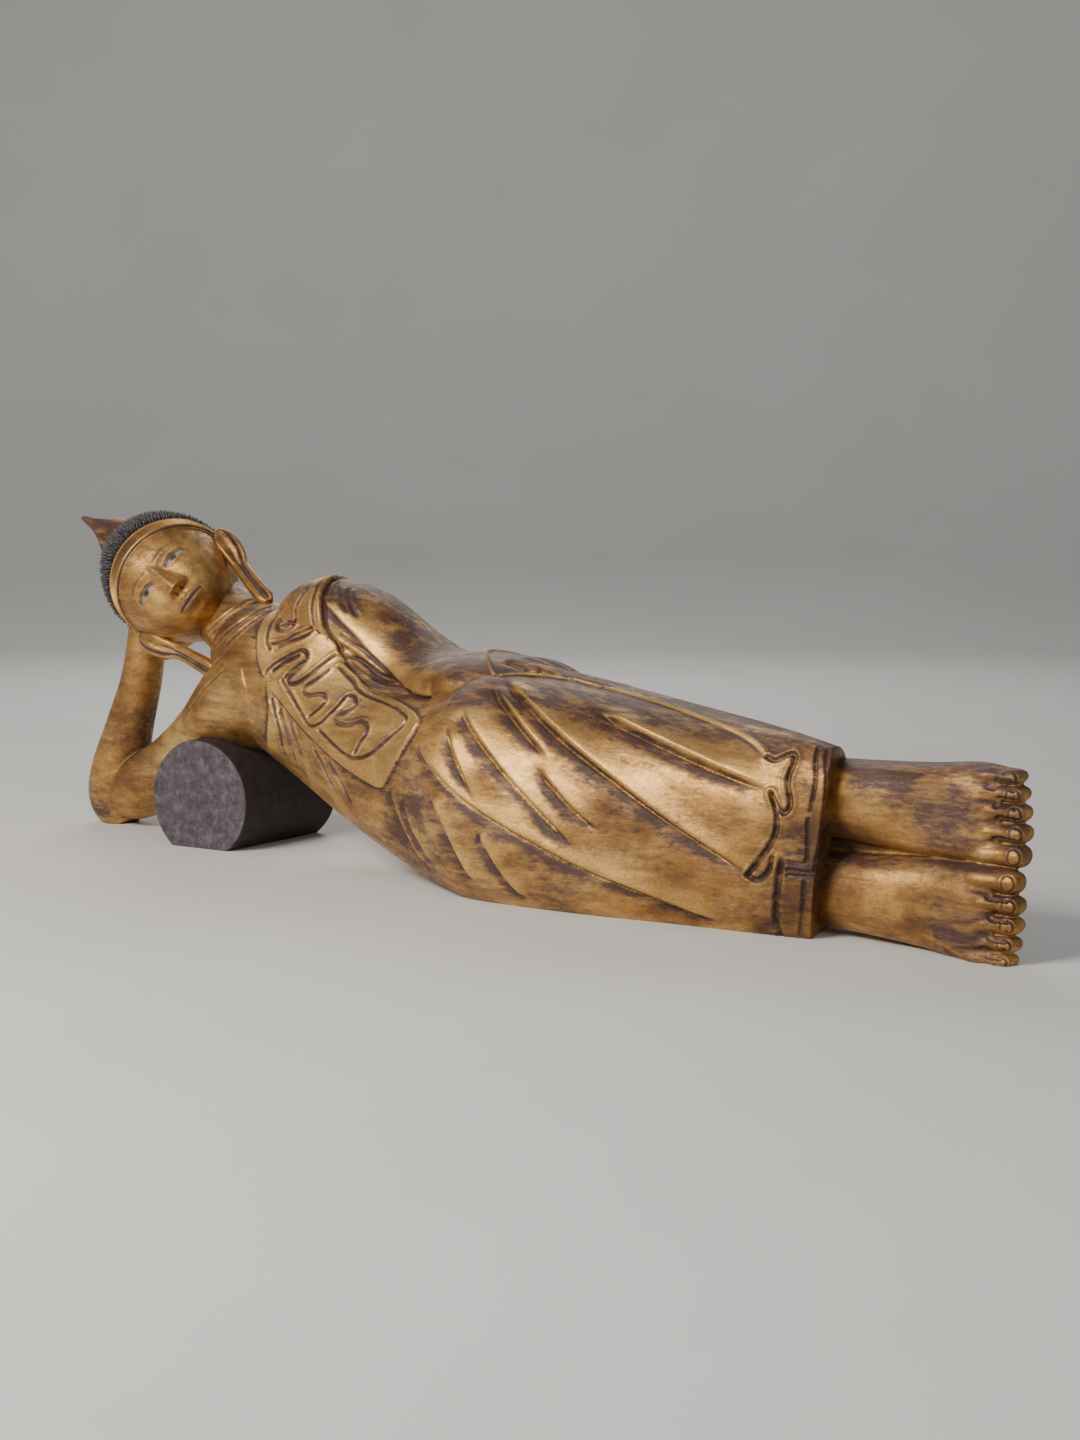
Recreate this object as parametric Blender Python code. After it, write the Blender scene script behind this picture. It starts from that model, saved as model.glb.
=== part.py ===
"""Reclining buddha carved in wood, lying on its right side over a short log.

The figure is one carving: the head propped on the right hand, the left arm
along the body, the robe, and the feet stacked one on the other. The log under
the right arm is a loose piece of its own. Everything is built at its real
size in metres, +Z up, with the toes toward +X and the figure's front toward
-Y. The origin is the middle of the underside of the two pieces together.
"""

import math

import bpy
import bmesh
import numpy as np
from mathutils import Matrix, Vector
from mathutils.bvhtree import BVHTree

# Driving sizes, in metres.
FIGURE_LENGTH = 1.18
LOG_DIAMETER = 0.125
LOG_LENGTH = 0.150
LOG_FLAT_CUT = 0.0125
LOG_EDGE_BEVEL = 0.0015
LOG_SIDES = 60
LOG_CLEARANCE = 0.0003
HAIR_CURL_SIZE = 0.0098
HAIR_CURL_HEIGHT = 0.0050

# The figure's own coordinates are in units of 1 mm on a figure 1180 mm long,
# measured from its toes toward its head, and scale with its length.
FIGURE_UNITS = 1180.0
UNIT = FIGURE_LENGTH / FIGURE_UNITS

# Face of the log nearest the figure's front, in figure units, and its turn.
LOG_FACE_X = -937.0
LOG_FACE_Y = -8.0
LOG_TURN = math.radians(7.0)

# Mesh fineness: grid of the carved block and triangles kept in each part.
VOXEL_UNITS = 3.6
SMOOTH_PASSES = 5
BODY_TRIANGLES = 4800
HEAD_TRIANGLES = 1300
CURVE_STEPS = 6
WELD_DISTANCE = 0.00003

# Trunk and robe, one row for each section from the hem to the neck: place
# along the body, middle depth, middle height, lean in degrees, half height
# up and down, depth to the front and to the back, roundness of the upper and
# lower half, turn in degrees.
TRUNK_SECTIONS = (
    (-188, 22, 80, 6, 82, 92, 30, 62, 2.2, 3.2, 18),
    (-255, 34, 83, 5, 89, 95, 62, 62, 2.3, 3.2, 12),
    (-330, 42, 86, 3, 96, 99, 86, 60, 2.3, 3.2, 6),
    (-430, 38, 93, 0, 104, 108, 106, 78, 2.4, 3.0, 0),
    (-530, 36, 100, 0, 109, 115, 116, 84, 2.4, 2.8, 0),
    (-620, 42, 108, 4, 96, 106, 108, 84, 2.3, 2.6, 0),
    (-700, 50, 118, 14, 72, 87, 90, 76, 2.2, 2.4, 0),
    (-775, 57, 143, 26, 84, 84, 76, 72, 2.2, 2.2, 0),
    (-838, 60, 178, 36, 104, 94, 70, 68, 2.3, 2.2, 0),
    (-892, 62, 200, 42, 84, 92, 62, 60, 2.3, 2.2, 0),
    (-935, 62, 222, 40, 40, 52, 44, 46, 2.0, 2.0, 0),
)

# Limbs, one row for each section: place along the body, depth, height, then
# the half width across the view from the front and the half depth.
LEFT_ARM = (
    (-866, 58, 222, 8, 12),
    (-850, 57, 240, 26, 36),
    (-818, 57, 255, 35, 47),
    (-765, 60, 236, 35, 48),
    (-700, 64, 204, 33, 44),
    (-650, 66, 188, 29, 38),
    (-600, 62, 190, 26, 34),
    (-560, 58, 190, 24, 32),
    (-515, 52, 188, 20, 30),
)
RIGHT_FOREARM = (
    (-1145, 60, -6, 32, 34),
    (-1145, 60, 34, 34, 34),
    (-1136, 58, 64, 30, 32),
    (-1118, 56, 108, 25, 27),
    (-1098, 55, 155, 22, 23),
    (-1086, 54, 195, 20, 23),
    (-1078, 58, 236, 22, 26),
)
RIGHT_UPPER_ARM = (
    (-1140, 60, 30, 34, 34),
    (-1100, 60, 46, 34, 36),
    (-1040, 60, 76, 34, 40),
    (-980, 60, 112, 42, 49),
    (-925, 58, 150, 56, 57),
    (-870, 57, 174, 62, 62),
)
NECK = (
    (-1000, 60, 248, 38, 40),
    (-960, 62, 232, 36, 36),
    (-920, 66, 212, 44, 44),
)
LEFT_FOOT = (
    (-225, 48, 116, 32, 28),
    (-160, 46, 115, 35, 32),
    (-95, 40, 116, 38, 28),
    (-40, 32, 117, 42, 22),
    (-16, 28, 117, 43, 17),
)
RIGHT_FOOT = (
    (-225, 48, 38, 32, 30),
    (-160, 44, 38, 34, 34),
    (-95, 38, 38, 38, 30),
    (-35, 22, 37, 42, 22),
    (-16, 16, 37, 42, 17),
)
FOOT_ROUNDNESS = 2.5
ANKLE_WEB = (
    (-225, 62, 77, 32, 22),
    (-150, 58, 77, 28, 20),
    (-60, 44, 78, 18, 10),
)

# Head: middle, crown direction, facing direction and half sizes across,
# front to back and up.
HEAD_CENTRE = (-1046, 54, 272)
CROWN_DIRECTION = (-0.806, -0.334, 0.491)
FACING_DIRECTION = (0.385, -0.890, 0.248)
HEAD_HALF_SIZES = (64, 72, 78)

# The hairline lies in a plane through the head that leans back; its height
# above the middle of the head, and its rise for each unit toward the face.
HAIRLINE_HEIGHT = 8
HAIRLINE_RISE = 0.52
HAIRBAND_WIDTH = 11
HAIRBAND_PROUD = 3.0
HAIR_THICKNESS = 2.5

# Finial: height above the middle of the head, and radius.
FINIAL_PROFILE = ((66, 20), (80, 18), (90, 12), (103, 7), (115, 3.6), (121, 2))

# Ear, from its top to the end of the lobe: across, forward and up from the
# middle of the head, then half width and half thickness.
EAR_SECTIONS = (
    (58, -8, -2, 6, 4),
    (64, -6, -16, 12, 6),
    (64, -5, -36, 10, 5),
    (61, -2, -62, 7, 5),
    (56, 2, -88, 9, 6),
    (52, 4, -106, 7, 5),
)

# Folds of the robe, as lines drawn on the figure seen from the front, each
# point its place along the body and its height: grooves with a lip above.
SKIRT_FOLDS = (
    ((-585, 143), (-541, 115), (-498, 89), (-406, 50), (-350, 31), (-265, 5)),
    ((-541, 162), (-522, 133), (-495, 95)),
    ((-535, 179), (-506, 155), (-450, 108), (-395, 62)),
    ((-518, 197), (-478, 174), (-425, 138)),
    ((-437, 132), (-396, 95), (-368, 77)),
    ((-511, 200), (-460, 178), (-378, 133), (-308, 91), (-233, 54)),
    ((-454, 191), (-364, 178), (-319, 170)),
    ((-400, 179), (-304, 148), (-220, 124)),
    ((-550, 94), (-533, 70), (-510, 19)),
    ((-496, 70), (-471, 26), (-455, 8)),
    ((-601, 84), (-585, 57), (-558, 39)),
)
SKIRT_FOLD_DEPTH = 4.5
SKIRT_FOLD_WIDTH = 6.0
SKIRT_FOLD_LIP = 1.6

# Ends of the pleats beside the hem, and the line of the hem's band.
PLEAT_LINES = (
    ((-233, 54), (-214, 77), (-212, 96), (-220, 123)),
    ((-220, 123), (-204, 108), (-201, 118), (-208, 140), (-212, 158)),
    ((-208, 53), (-212, 30), (-212, 6)),
    ((-197, 160), (-189, 136), (-190, 110)),
    ((-202, 60), (-187, 60), (-184, 106)),
)
PLEAT_DEPTH = 3.0
PLEAT_WIDTH = 4.0

# Chest: the robe's edge from the neck, the gathers under it, and the raised
# flap of cloth with its border.
ROBE_EDGE = ((-858, 244), (-852, 229), (-850, 210), (-839, 170), (-826, 130))
ROBE_EDGE_STEP = 2.5
CHEST_GATHERS = (
    ((-832, 165), (-826, 140), (-812, 112)),
    ((-820, 160), (-812, 135), (-794, 106)),
    ((-806, 152), (-796, 128), (-776, 98)),
)
FLAP_OUTLINE = ((-829, 170), (-775, 135), (-634, 97), (-585, 159), (-750, 209), (-773, 246))
FLAP_RAISE = 4.0
FLAP_BORDER = 11.0
SLEEVE_FOLDS = (
    ((-760, 214), (-690, 184), (-600, 166)),
    ((-772, 250), (-744, 222), (-690, 198), (-610, 178)),
)
BACK_FOLDS = (
    ((-820, 230), (-700, 130), (-560, 70), (-400, 40)),
    ((-760, 240), (-640, 150), (-480, 95), (-300, 60)),
    ((-640, 200), (-500, 150), (-330, 115), (-220, 100)),
)
SLEEVE_CUFF = ((-573, 53), (-570, 30), (-552, 8), (-530, -14))
CUFF_RAISE = 2.0

# Colours of the two pieces.
GILT_COLOUR = (0.40, 0.25, 0.10)
GILT_METALLIC = 0.35
GILT_ROUGHNESS = 0.48
LOG_COLOUR = (0.045, 0.033, 0.036)
LOG_ROUGHNESS = 0.8


def clear_scene():
    """Remove every object that the file opened with."""
    for existing in list(bpy.data.objects):
        bpy.data.objects.remove(existing, do_unlink=True)


def smooth_step(low, high, value):
    """Rise smoothly from 0 at low to 1 at high."""
    share = np.clip((value - low) / (high - low), 0.0, 1.0)
    return share * share * (3.0 - 2.0 * share)


def bump(value, half_width):
    """A bell of height 1 at 0 that falls away over half_width."""
    return np.exp(-(value / half_width) ** 2)


def curve_through(rows, steps=CURVE_STEPS):
    """Rows of a smooth curve that passes through every given row."""
    knots = np.array(rows, dtype=float)
    last = len(knots) - 1
    result = []
    for index in range(last):
        before = knots[max(index - 1, 0)]
        start = knots[index]
        end = knots[index + 1]
        after = knots[min(index + 2, last)]
        for step in range(steps):
            t = step / steps
            result.append(0.5 * (2 * start + (end - before) * t
                                 + (2 * before - 5 * start + 4 * end - after) * t ** 2
                                 + (3 * start - before - 3 * end + after) * t ** 3))
    result.append(knots[last])
    return np.array(result)


def rounded(value, roundness):
    """Cosine or sine bent from a circle (2) toward a square (above 2)."""
    return np.sign(value) * np.abs(value) ** (2.0 / roundness)


def trunk_rings(rows, sides=40):
    """Rings of the trunk, leaning and turned as its rows say."""
    angles = np.linspace(0.0, 2.0 * math.pi, sides, endpoint=False)
    cosine = np.cos(angles)
    sine = np.sin(angles)
    rings = []
    for x, y, z, lean, up, down, front, back, round_up, round_down, turn in curve_through(rows):
        lean = math.radians(lean)
        turn = math.radians(turn)
        upward = np.array((math.sin(lean), 0.0, math.cos(lean)))
        deep = np.array((-math.sin(turn), math.cos(turn), 0.0))
        roundness = np.where(cosine > 0, round_up, round_down)
        height = np.where(cosine > 0, up, down) * rounded(cosine, roundness)
        depth = np.where(sine > 0, back, front) * rounded(sine, roundness)
        rings.append(np.array((x, y, z)) + height[:, None] * upward + depth[:, None] * deep)
    return rings


def limb_rings(rows, sides=24, roundness=2.0, side=(0.0, 1.0, 0.0), steps=CURVE_STEPS):
    """Rings of a limb around its own curved middle line."""
    path = curve_through(rows, steps)
    centres = path[:, :3]
    tangents = np.gradient(centres, axis=0)
    tangents /= np.linalg.norm(tangents, axis=1)[:, None]
    angles = np.linspace(0.0, 2.0 * math.pi, sides, endpoint=False)
    rings = []
    for centre, tangent, row in zip(centres, tangents, path):
        width_axis = np.cross(side, tangent)
        width_axis /= np.linalg.norm(width_axis)
        depth_axis = np.cross(tangent, width_axis)
        rings.append(centre
                     + row[3] * rounded(np.cos(angles), roundness)[:, None] * width_axis
                     + row[4] * rounded(np.sin(angles), roundness)[:, None] * depth_axis)
    return rings


def add_loft(mesh, rings):
    """Add a closed skin over rings given in figure units."""
    loops = [[mesh.verts.new(Vector(point) * UNIT) for point in ring] for ring in rings]
    sides = len(loops[0])
    for lower, upper in zip(loops, loops[1:]):
        for index in range(sides):
            after = (index + 1) % sides
            mesh.faces.new((lower[index], lower[after], upper[after], upper[index]))
    for loop, ring in ((loops[0], rings[0]), (loops[-1], rings[-1])):
        middle = mesh.verts.new(Vector(np.mean(ring, axis=0)) * UNIT)
        for index in range(sides):
            mesh.faces.new((loop[index], loop[(index + 1) % sides], middle))


def new_object(name, mesh):
    """Turn a bmesh into an object with its faces pointing outward."""
    bmesh.ops.recalc_face_normals(mesh, faces=mesh.faces)
    data = bpy.data.meshes.new(name)
    mesh.to_mesh(data)
    mesh.free()
    result = bpy.data.objects.new(name, data)
    bpy.context.scene.collection.objects.link(result)
    return result


def bake_modifiers(item):
    """Put the result of an object's modifiers into its mesh."""
    bpy.context.view_layer.update()
    evaluated = item.evaluated_get(bpy.context.evaluated_depsgraph_get())
    data = bpy.data.meshes.new_from_object(evaluated)
    item.modifiers.clear()
    old = item.data
    item.data = data
    bpy.data.meshes.remove(old)


def remove_object(item):
    """Delete an object and its mesh."""
    data = item.data
    bpy.data.objects.remove(item, do_unlink=True)
    bpy.data.meshes.remove(data)


def merge_slivers(item):
    """Merge points closer than the weld distance, and split faces in triangles."""
    mesh = bmesh.new()
    mesh.from_mesh(item.data)
    bmesh.ops.triangulate(mesh, faces=mesh.faces)
    bmesh.ops.remove_doubles(mesh, verts=mesh.verts, dist=WELD_DISTANCE)
    bmesh.ops.dissolve_degenerate(mesh, edges=mesh.edges, dist=WELD_DISTANCE)
    bmesh.ops.triangulate(mesh, faces=mesh.faces)
    mesh.to_mesh(item.data)
    mesh.free()


def combine(base, other, operation):
    """Join to, or cut from, base the second object, which is then removed."""
    modifier = base.modifiers.new(operation.title(), "BOOLEAN")
    modifier.operation = operation
    modifier.solver = "EXACT"
    modifier.object = other
    bake_modifiers(base)
    remove_object(other)
    merge_slivers(base)


def reduce_triangles(item, triangles):
    """Keep about the given number of triangles where the shape bends most."""
    item.data.calc_loop_triangles()
    modifier = item.modifiers.new("Decimate", "DECIMATE")
    modifier.ratio = triangles / len(item.data.loop_triangles)
    modifier.use_collapse_triangulate = True
    bake_modifiers(item)


def head_axes():
    """Directions across the head (to its right ear), forward and up."""
    up = np.array(CROWN_DIRECTION)
    up = up / np.linalg.norm(up)
    forward = np.array(FACING_DIRECTION)
    forward = forward - up * np.dot(forward, up)
    forward = forward / np.linalg.norm(forward)
    return np.array((np.cross(forward, up), forward, up))


def head_to_figure(points):
    """Figure coordinates of points given across, forward and up."""
    return np.array(HEAD_CENTRE) + np.asarray(points, dtype=float) @ head_axes()


def face_relief(across, up):
    """How far the features stand forward of the plain head, in figure units.

    Plain even features on common proportions: brows, nose and chin divide
    the face below the hair in thirds.
    """
    side = np.abs(across)
    brow_arch = 5.0 + 4.0 * bump(side - 22.0, 16.0)
    relief = 2.2 * bump(up - brow_arch, 4.5) * smooth_step(2.0, 8.0, side) * smooth_step(46.0, 36.0, side)
    relief -= 4.0 * bump(side - 22.0, 15.0) * bump(up + 6.0, 8.5)
    relief += 4.6 * bump(side - 22.0, 10.5) * bump(up + 8.0, 5.6)
    nose_drop = np.clip((4.0 - up) / 38.0, 0.0, 1.0)
    nose_end = smooth_step(-39.5, -34.0, up)
    relief += (4.0 + 11.0 * nose_drop) * bump(side, 5.5 + 2.0 * nose_drop) * nose_end * smooth_step(9.0, 0.0, up)
    relief += 5.5 * bump(side - 8.5, 4.6) * bump(up + 33.0, 5.0)
    relief += 4.2 * bump(up + 49.5, 4.0) * bump(side, 15.0)
    relief += 4.6 * bump(up + 57.5, 4.2) * bump(side, 12.5)
    relief -= 2.4 * bump(up + 53.3, 1.8) * bump(side, 17.0)
    relief -= 2.0 * bump(up + 64.0, 3.5) * bump(side, 13.0)
    relief += 3.8 * bump(up + 71.0, 7.0) * bump(side, 12.0)
    relief += 1.8 * bump(side - 31.0, 15.0) * bump(up + 34.0, 17.0)
    return relief


def head_surface(directions):
    """Points of the head, in its own axes, along unit directions."""
    points = np.asarray(directions) * np.array(HEAD_HALF_SIZES)
    across, forward, up = points.T
    lower = smooth_step(5.0, -70.0, up)
    fore = smooth_step(-10.0, 50.0, forward)
    forward = forward + 17.0 * lower * fore
    across = across * (1.0 - 0.06 * lower)
    forward = forward + face_relief(across, up) * smooth_step(18.0, 42.0, forward)
    return np.stack((across, forward, up), axis=1)


def build_head():
    """The head with its face, as a closed mesh of its own."""
    mesh = bmesh.new()
    bmesh.ops.create_icosphere(mesh, subdivisions=6, radius=1.0)
    directions = np.array([tuple(vertex.co.normalized()) for vertex in mesh.verts])
    for vertex, point in zip(mesh.verts, head_to_figure(head_surface(directions))):
        vertex.co = Vector(point) * UNIT
    head = new_object("head", mesh)
    reduce_triangles(head, HEAD_TRIANGLES)
    return head


def hairline_polar(turn):
    """Angle from the crown at which the hairline crosses a direction."""
    half_across, half_deep, half_up = HEAD_HALF_SIZES
    polar = np.linspace(0.2, 2.6, 400)
    forward = half_deep * np.sin(polar) * math.sin(turn)
    height = half_up * np.cos(polar)
    above = height - (HAIRLINE_HEIGHT + HAIRBAND_WIDTH * 0.7 + HAIRLINE_RISE * forward)
    return float(np.interp(0.0, -above, polar))


def build_hair():
    """Cap of pointed curls, in rows from the finial down to the hairband."""
    girth = math.pi * (HEAD_HALF_SIZES[0] + HEAD_HALF_SIZES[1]) * UNIT
    columns = int(round(girth / HAIR_CURL_SIZE))
    crown_polar = 0.22
    rows = int(round((hairline_polar(0.0) - crown_polar) * HEAD_HALF_SIZES[2] * UNIT / HAIR_CURL_SIZE))
    mesh = bmesh.new()
    half_sizes = np.array(HEAD_HALF_SIZES) + HAIR_THICKNESS
    grid = []
    for column in range(columns):
        turn = 2.0 * math.pi * column / columns
        low = hairline_polar(turn)
        line = []
        for row in range(rows + 1):
            polar = crown_polar + (low - crown_polar) * row / rows
            direction = (math.sin(polar) * math.cos(turn), math.sin(polar) * math.sin(turn), math.cos(polar))
            point = head_to_figure(np.array(direction) * half_sizes)
            line.append(mesh.verts.new(Vector(point) * UNIT))
        grid.append(line)
    middle = mesh.verts.new(Vector(HEAD_CENTRE) * UNIT)
    crown = mesh.verts.new(Vector(head_to_figure((0.0, 0.0, half_sizes[2]))) * UNIT)
    skin = []
    for column in range(columns):
        line = grid[column]
        beside = grid[(column + 1) % columns]
        mesh.faces.new((crown, line[0], beside[0]))
        mesh.faces.new((middle, line[rows], beside[rows]))
        for row in range(rows):
            skin.append(mesh.faces.new((line[row], line[row + 1], beside[row + 1], beside[row])))
    bmesh.ops.recalc_face_normals(mesh, faces=mesh.faces)
    bmesh.ops.poke(mesh, faces=skin, offset=HAIR_CURL_HEIGHT, center_mode="MEAN")
    return new_object("hair", mesh)


def build_hairband():
    """The raised band along the hairline, from ear to ear and round behind."""
    half_sizes = np.array(HEAD_HALF_SIZES) + HAIRBAND_PROUD
    rings = []
    steps = 48
    for step in range(steps):
        turn = 2.0 * math.pi * step / steps
        ring = []
        for offset, share in ((0.0, 1.0), (HAIRBAND_WIDTH, 1.0), (HAIRBAND_WIDTH, 0.86), (0.0, 0.86)):
            polar = np.linspace(0.2, 2.6, 400)
            forward = half_sizes[1] * np.sin(polar) * math.sin(turn)
            above = half_sizes[2] * np.cos(polar) - (HAIRLINE_HEIGHT + offset + HAIRLINE_RISE * forward)
            angle = float(np.interp(0.0, -above, polar))
            direction = (math.sin(angle) * math.cos(turn), math.sin(angle) * math.sin(turn), math.cos(angle))
            ring.append(head_to_figure(np.array(direction) * half_sizes * share))
        rings.append(ring)
    mesh = bmesh.new()
    loops = [[mesh.verts.new(Vector(point) * UNIT) for point in ring] for ring in rings]
    for step in range(steps):
        here = loops[step]
        there = loops[(step + 1) % steps]
        for index in range(4):
            after = (index + 1) % 4
            mesh.faces.new((here[index], here[after], there[after], there[index]))
    return new_object("hairband", mesh)


def build_ears_and_finial():
    """Two long ears and the pointed finial on the crown."""
    forward = head_axes()[1]
    up = head_axes()[2]
    parts = []
    for side in (1.0, -1.0):
        rows = []
        for across, ahead, above, width, thickness in EAR_SECTIONS:
            place = head_to_figure((side * across, ahead, above))
            rows.append((*place, width, thickness))
        mesh = bmesh.new()
        flare = forward + side * head_axes()[0] * 0.8
        add_loft(mesh, limb_rings(rows, sides=8, side=flare, steps=2))
        parts.append(new_object("ear", mesh))
    mesh = bmesh.new()
    rows = [(*head_to_figure((0.0, 0.0, height)), radius, radius) for height, radius in FINIAL_PROFILE]
    add_loft(mesh, limb_rings(rows, sides=12, side=np.cross(forward, up), steps=2))
    parts.append(new_object("finial", mesh))
    return parts


def toe_rows(foot, big_toe_up):
    """Five toes of one foot, the big one at its upper or lower edge."""
    end = foot[-1]
    low = end[2] - end[3]
    high = end[2] + end[3]
    big_width = 0.27 * (high - low)
    small_width = (high - low - big_width) / 4.0
    toes = []
    for index in range(5):
        width = big_width if index == 0 else small_width
        start = 0.0 if index == 0 else big_width + (index - 1) * small_width
        middle = start + width / 2.0
        height = high - middle if big_toe_up else low + middle
        toes.append(((-48, end[1] + 2, height, width * 0.46, 15),
                     (-20, end[1] - 4, height, width * 0.50, 14),
                     (-2, end[1], height, width * 0.40, 10)))
    return toes


def right_hand_rows():
    """Fingers of the right hand, curled round the back of the head."""
    fingers = []
    reach = np.array(HEAD_HALF_SIZES) + 5.0
    for index in range(4):
        rise = -0.22 + 0.19 * index
        rows = []
        for angle in np.radians((8.0, 32.0, 56.0, 78.0)):
            level = math.sqrt(1.0 - rise * rise)
            direction = np.array((math.cos(angle) * level, -math.sin(angle) * level, rise))
            rows.append((*head_to_figure(direction * reach), 8.0, 8.0))
        fingers.append(rows)
    return fingers


def left_hand_rows():
    """Four fingers laid flat on the hip."""
    fingers = []
    for index in range(4):
        depth = 26.0 + 13.0 * index
        fingers.append(((-540, depth, 198, 8, 8), (-500, depth, 200, 8, 8), (-462 - 4 * abs(index - 1), depth, 194, 7, 7)))
    return fingers


def build_block():
    """Trunk, limbs, hands and feet as overlapping closed skins."""
    mesh = bmesh.new()
    add_loft(mesh, trunk_rings(TRUNK_SECTIONS))
    for rows in (LEFT_ARM, RIGHT_FOREARM, RIGHT_UPPER_ARM, NECK, ANKLE_WEB):
        add_loft(mesh, limb_rings(rows))
    for rows, big_toe_up in ((LEFT_FOOT, False), (RIGHT_FOOT, True)):
        add_loft(mesh, limb_rings(rows, roundness=FOOT_ROUNDNESS))
        for toe in toe_rows(rows, big_toe_up):
            add_loft(mesh, limb_rings(toe, sides=12, steps=3))
    for finger in right_hand_rows():
        add_loft(mesh, limb_rings(finger, sides=12, steps=3, side=head_axes()[2]))
    for finger in left_hand_rows():
        add_loft(mesh, limb_rings(finger, sides=12, steps=3))
    return new_object("reclining_buddha_figure", mesh)


def draw_on(tree, line, view):
    """Points where a line, drawn on one view of the figure, meets it."""
    starts = {"front": (Vector((0, 1, 0)), 1), "back": (Vector((0, -1, 0)), 1), "top": (Vector((0, 0, -1)), 2)}
    direction, fixed = starts[view]
    found = []
    for along, across in curve_through(line, steps=16):
        start = Vector((along, 0.0, 0.0)) * UNIT
        start[3 - fixed] = across * UNIT
        start = start - direction * FIGURE_LENGTH
        place = tree.ray_cast(start, direction)[0]
        if place is not None:
            found.append(tuple(place))
    return np.array(found)


def line_distances(coordinates, normals, line, reach):
    """Vertices within reach of a line, and their signed distance from it."""
    low = line.min(axis=0) - reach
    high = line.max(axis=0) + reach
    near = np.flatnonzero(np.all((coordinates > low) & (coordinates < high), axis=1))
    places = coordinates[near]
    gaps = places[:, None, :] - line[None, :, :]
    lengths = np.linalg.norm(gaps, axis=2)
    nearest = lengths.argmin(axis=1)
    chosen = np.arange(len(near))
    tangents = np.gradient(line, axis=0)[nearest]
    side = np.einsum("ij,ij->i", np.cross(tangents, gaps[chosen, nearest]), normals[near])
    distance = lengths[chosen, nearest] * np.where(side > 0, 1.0, -1.0)
    inside = np.abs(distance) < reach
    return near[inside], distance[inside]


def flap_height(along, height):
    """Relief of the raised flap on the chest, with its border groove."""
    corners = np.array(FLAP_OUTLINE, dtype=float)
    inward = np.full(along.shape, 1e9)
    inside = np.zeros(along.shape, dtype=bool)
    for index in range(len(corners)):
        start = corners[index]
        end = corners[(index + 1) % len(corners)]
        edge = end - start
        share = ((along - start[0]) * edge[0] + (height - start[1]) * edge[1]) / np.dot(edge, edge)
        share = np.clip(share, 0.0, 1.0)
        gap = np.hypot(along - start[0] - share * edge[0], height - start[1] - share * edge[1])
        inward = np.minimum(inward, gap)
        crosses = (start[1] > height) != (end[1] > height)
        slope = np.where(crosses, (height - start[1]) / np.where(crosses, edge[1], 1.0), 0.0)
        inside ^= crosses & (along < start[0] + slope * edge[0])
    relief = FLAP_RAISE * smooth_step(0.0, 3.5, inward) - 0.5 * FLAP_RAISE * bump(inward - FLAP_BORDER, 2.5)
    return np.where(inside, relief, 0.0)


def carve(figure):
    """Press the robe's folds, hem and flap into the figure's surface."""
    data = figure.data
    count = len(data.vertices)
    coordinates = np.empty(count * 3)
    data.vertices.foreach_get("co", coordinates)
    coordinates = coordinates.reshape(-1, 3)
    normals = np.array([tuple(item.vector) for item in data.vertex_normals])
    tree = BVHTree.FromPolygons(coordinates.tolist(), [tuple(face.vertices) for face in data.polygons])
    rise = np.zeros(count)

    def groove(lines, view, depth, width, lip):
        for line in lines:
            drawn = draw_on(tree, line, view)
            near, distance = line_distances(coordinates, normals, drawn, 5.0 * width * UNIT)
            gap = distance / UNIT
            rise[near] -= depth * bump(gap, width)
            rise[near] += lip * bump(gap + 2.2 * width, 1.4 * width)

    groove(SKIRT_FOLDS, "front", SKIRT_FOLD_DEPTH, SKIRT_FOLD_WIDTH, SKIRT_FOLD_LIP)
    groove(PLEAT_LINES, "front", PLEAT_DEPTH, PLEAT_WIDTH, 0.0)
    groove(CHEST_GATHERS, "front", 2.5, 4.0, 0.0)
    groove(SLEEVE_FOLDS, "front", 3.5, 5.0, 0.0)
    groove(BACK_FOLDS, "back", 3.0, 6.0, 0.0)
    groove((SLEEVE_CUFF,), "top", -CUFF_RAISE, 4.0, 0.0)

    edge = draw_on(tree, ROBE_EDGE, "front")
    near, distance = line_distances(coordinates, normals, edge, 14.0 * UNIT)
    gap = distance / UNIT
    rise[near] += ROBE_EDGE_STEP * smooth_step(-1.5, 1.5, gap) * smooth_step(14.0, 5.0, gap)

    faces_front = smooth_step(0.0, 0.4, -normals[:, 1])
    units = coordinates / UNIT
    rise += flap_height(units[:, 0], units[:, 2]) * faces_front
    coordinates += normals * (rise * UNIT)[:, None]
    data.vertices.foreach_set("co", coordinates.ravel())
    data.update()


def build_log(extra=0.0):
    """The log, lying across under the arm, grown all over by extra."""
    radius = LOG_DIAMETER / 2.0 + extra
    length = LOG_LENGTH + 2.0 * extra
    mesh = bmesh.new()
    bmesh.ops.create_cone(mesh, cap_ends=True, segments=LOG_SIDES, radius1=radius, radius2=radius, depth=length)
    centre_height = LOG_DIAMETER / 2.0 - LOG_FLAT_CUT
    face = Vector((LOG_FACE_X * UNIT, LOG_FACE_Y * UNIT, centre_height))
    axis = Vector((-math.sin(LOG_TURN), math.cos(LOG_TURN), 0.0))
    lie_down = Matrix.Rotation(LOG_TURN, 4, "Z") @ Matrix.Rotation(-math.pi / 2.0, 4, "X")
    mesh.transform(Matrix.Translation(face + axis * LOG_LENGTH / 2.0) @ lie_down)
    flat = -extra
    everything = list(mesh.verts) + list(mesh.edges) + list(mesh.faces)
    cut = bmesh.ops.bisect_plane(mesh, geom=everything, plane_co=(0.0, 0.0, flat), plane_no=(0.0, 0.0, 1.0),
                                 clear_inner=True)
    rim = [item for item in cut["geom_cut"] if isinstance(item, bmesh.types.BMEdge)]
    bmesh.ops.contextual_create(mesh, geom=rim)
    return new_object("bolster", mesh)


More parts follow.
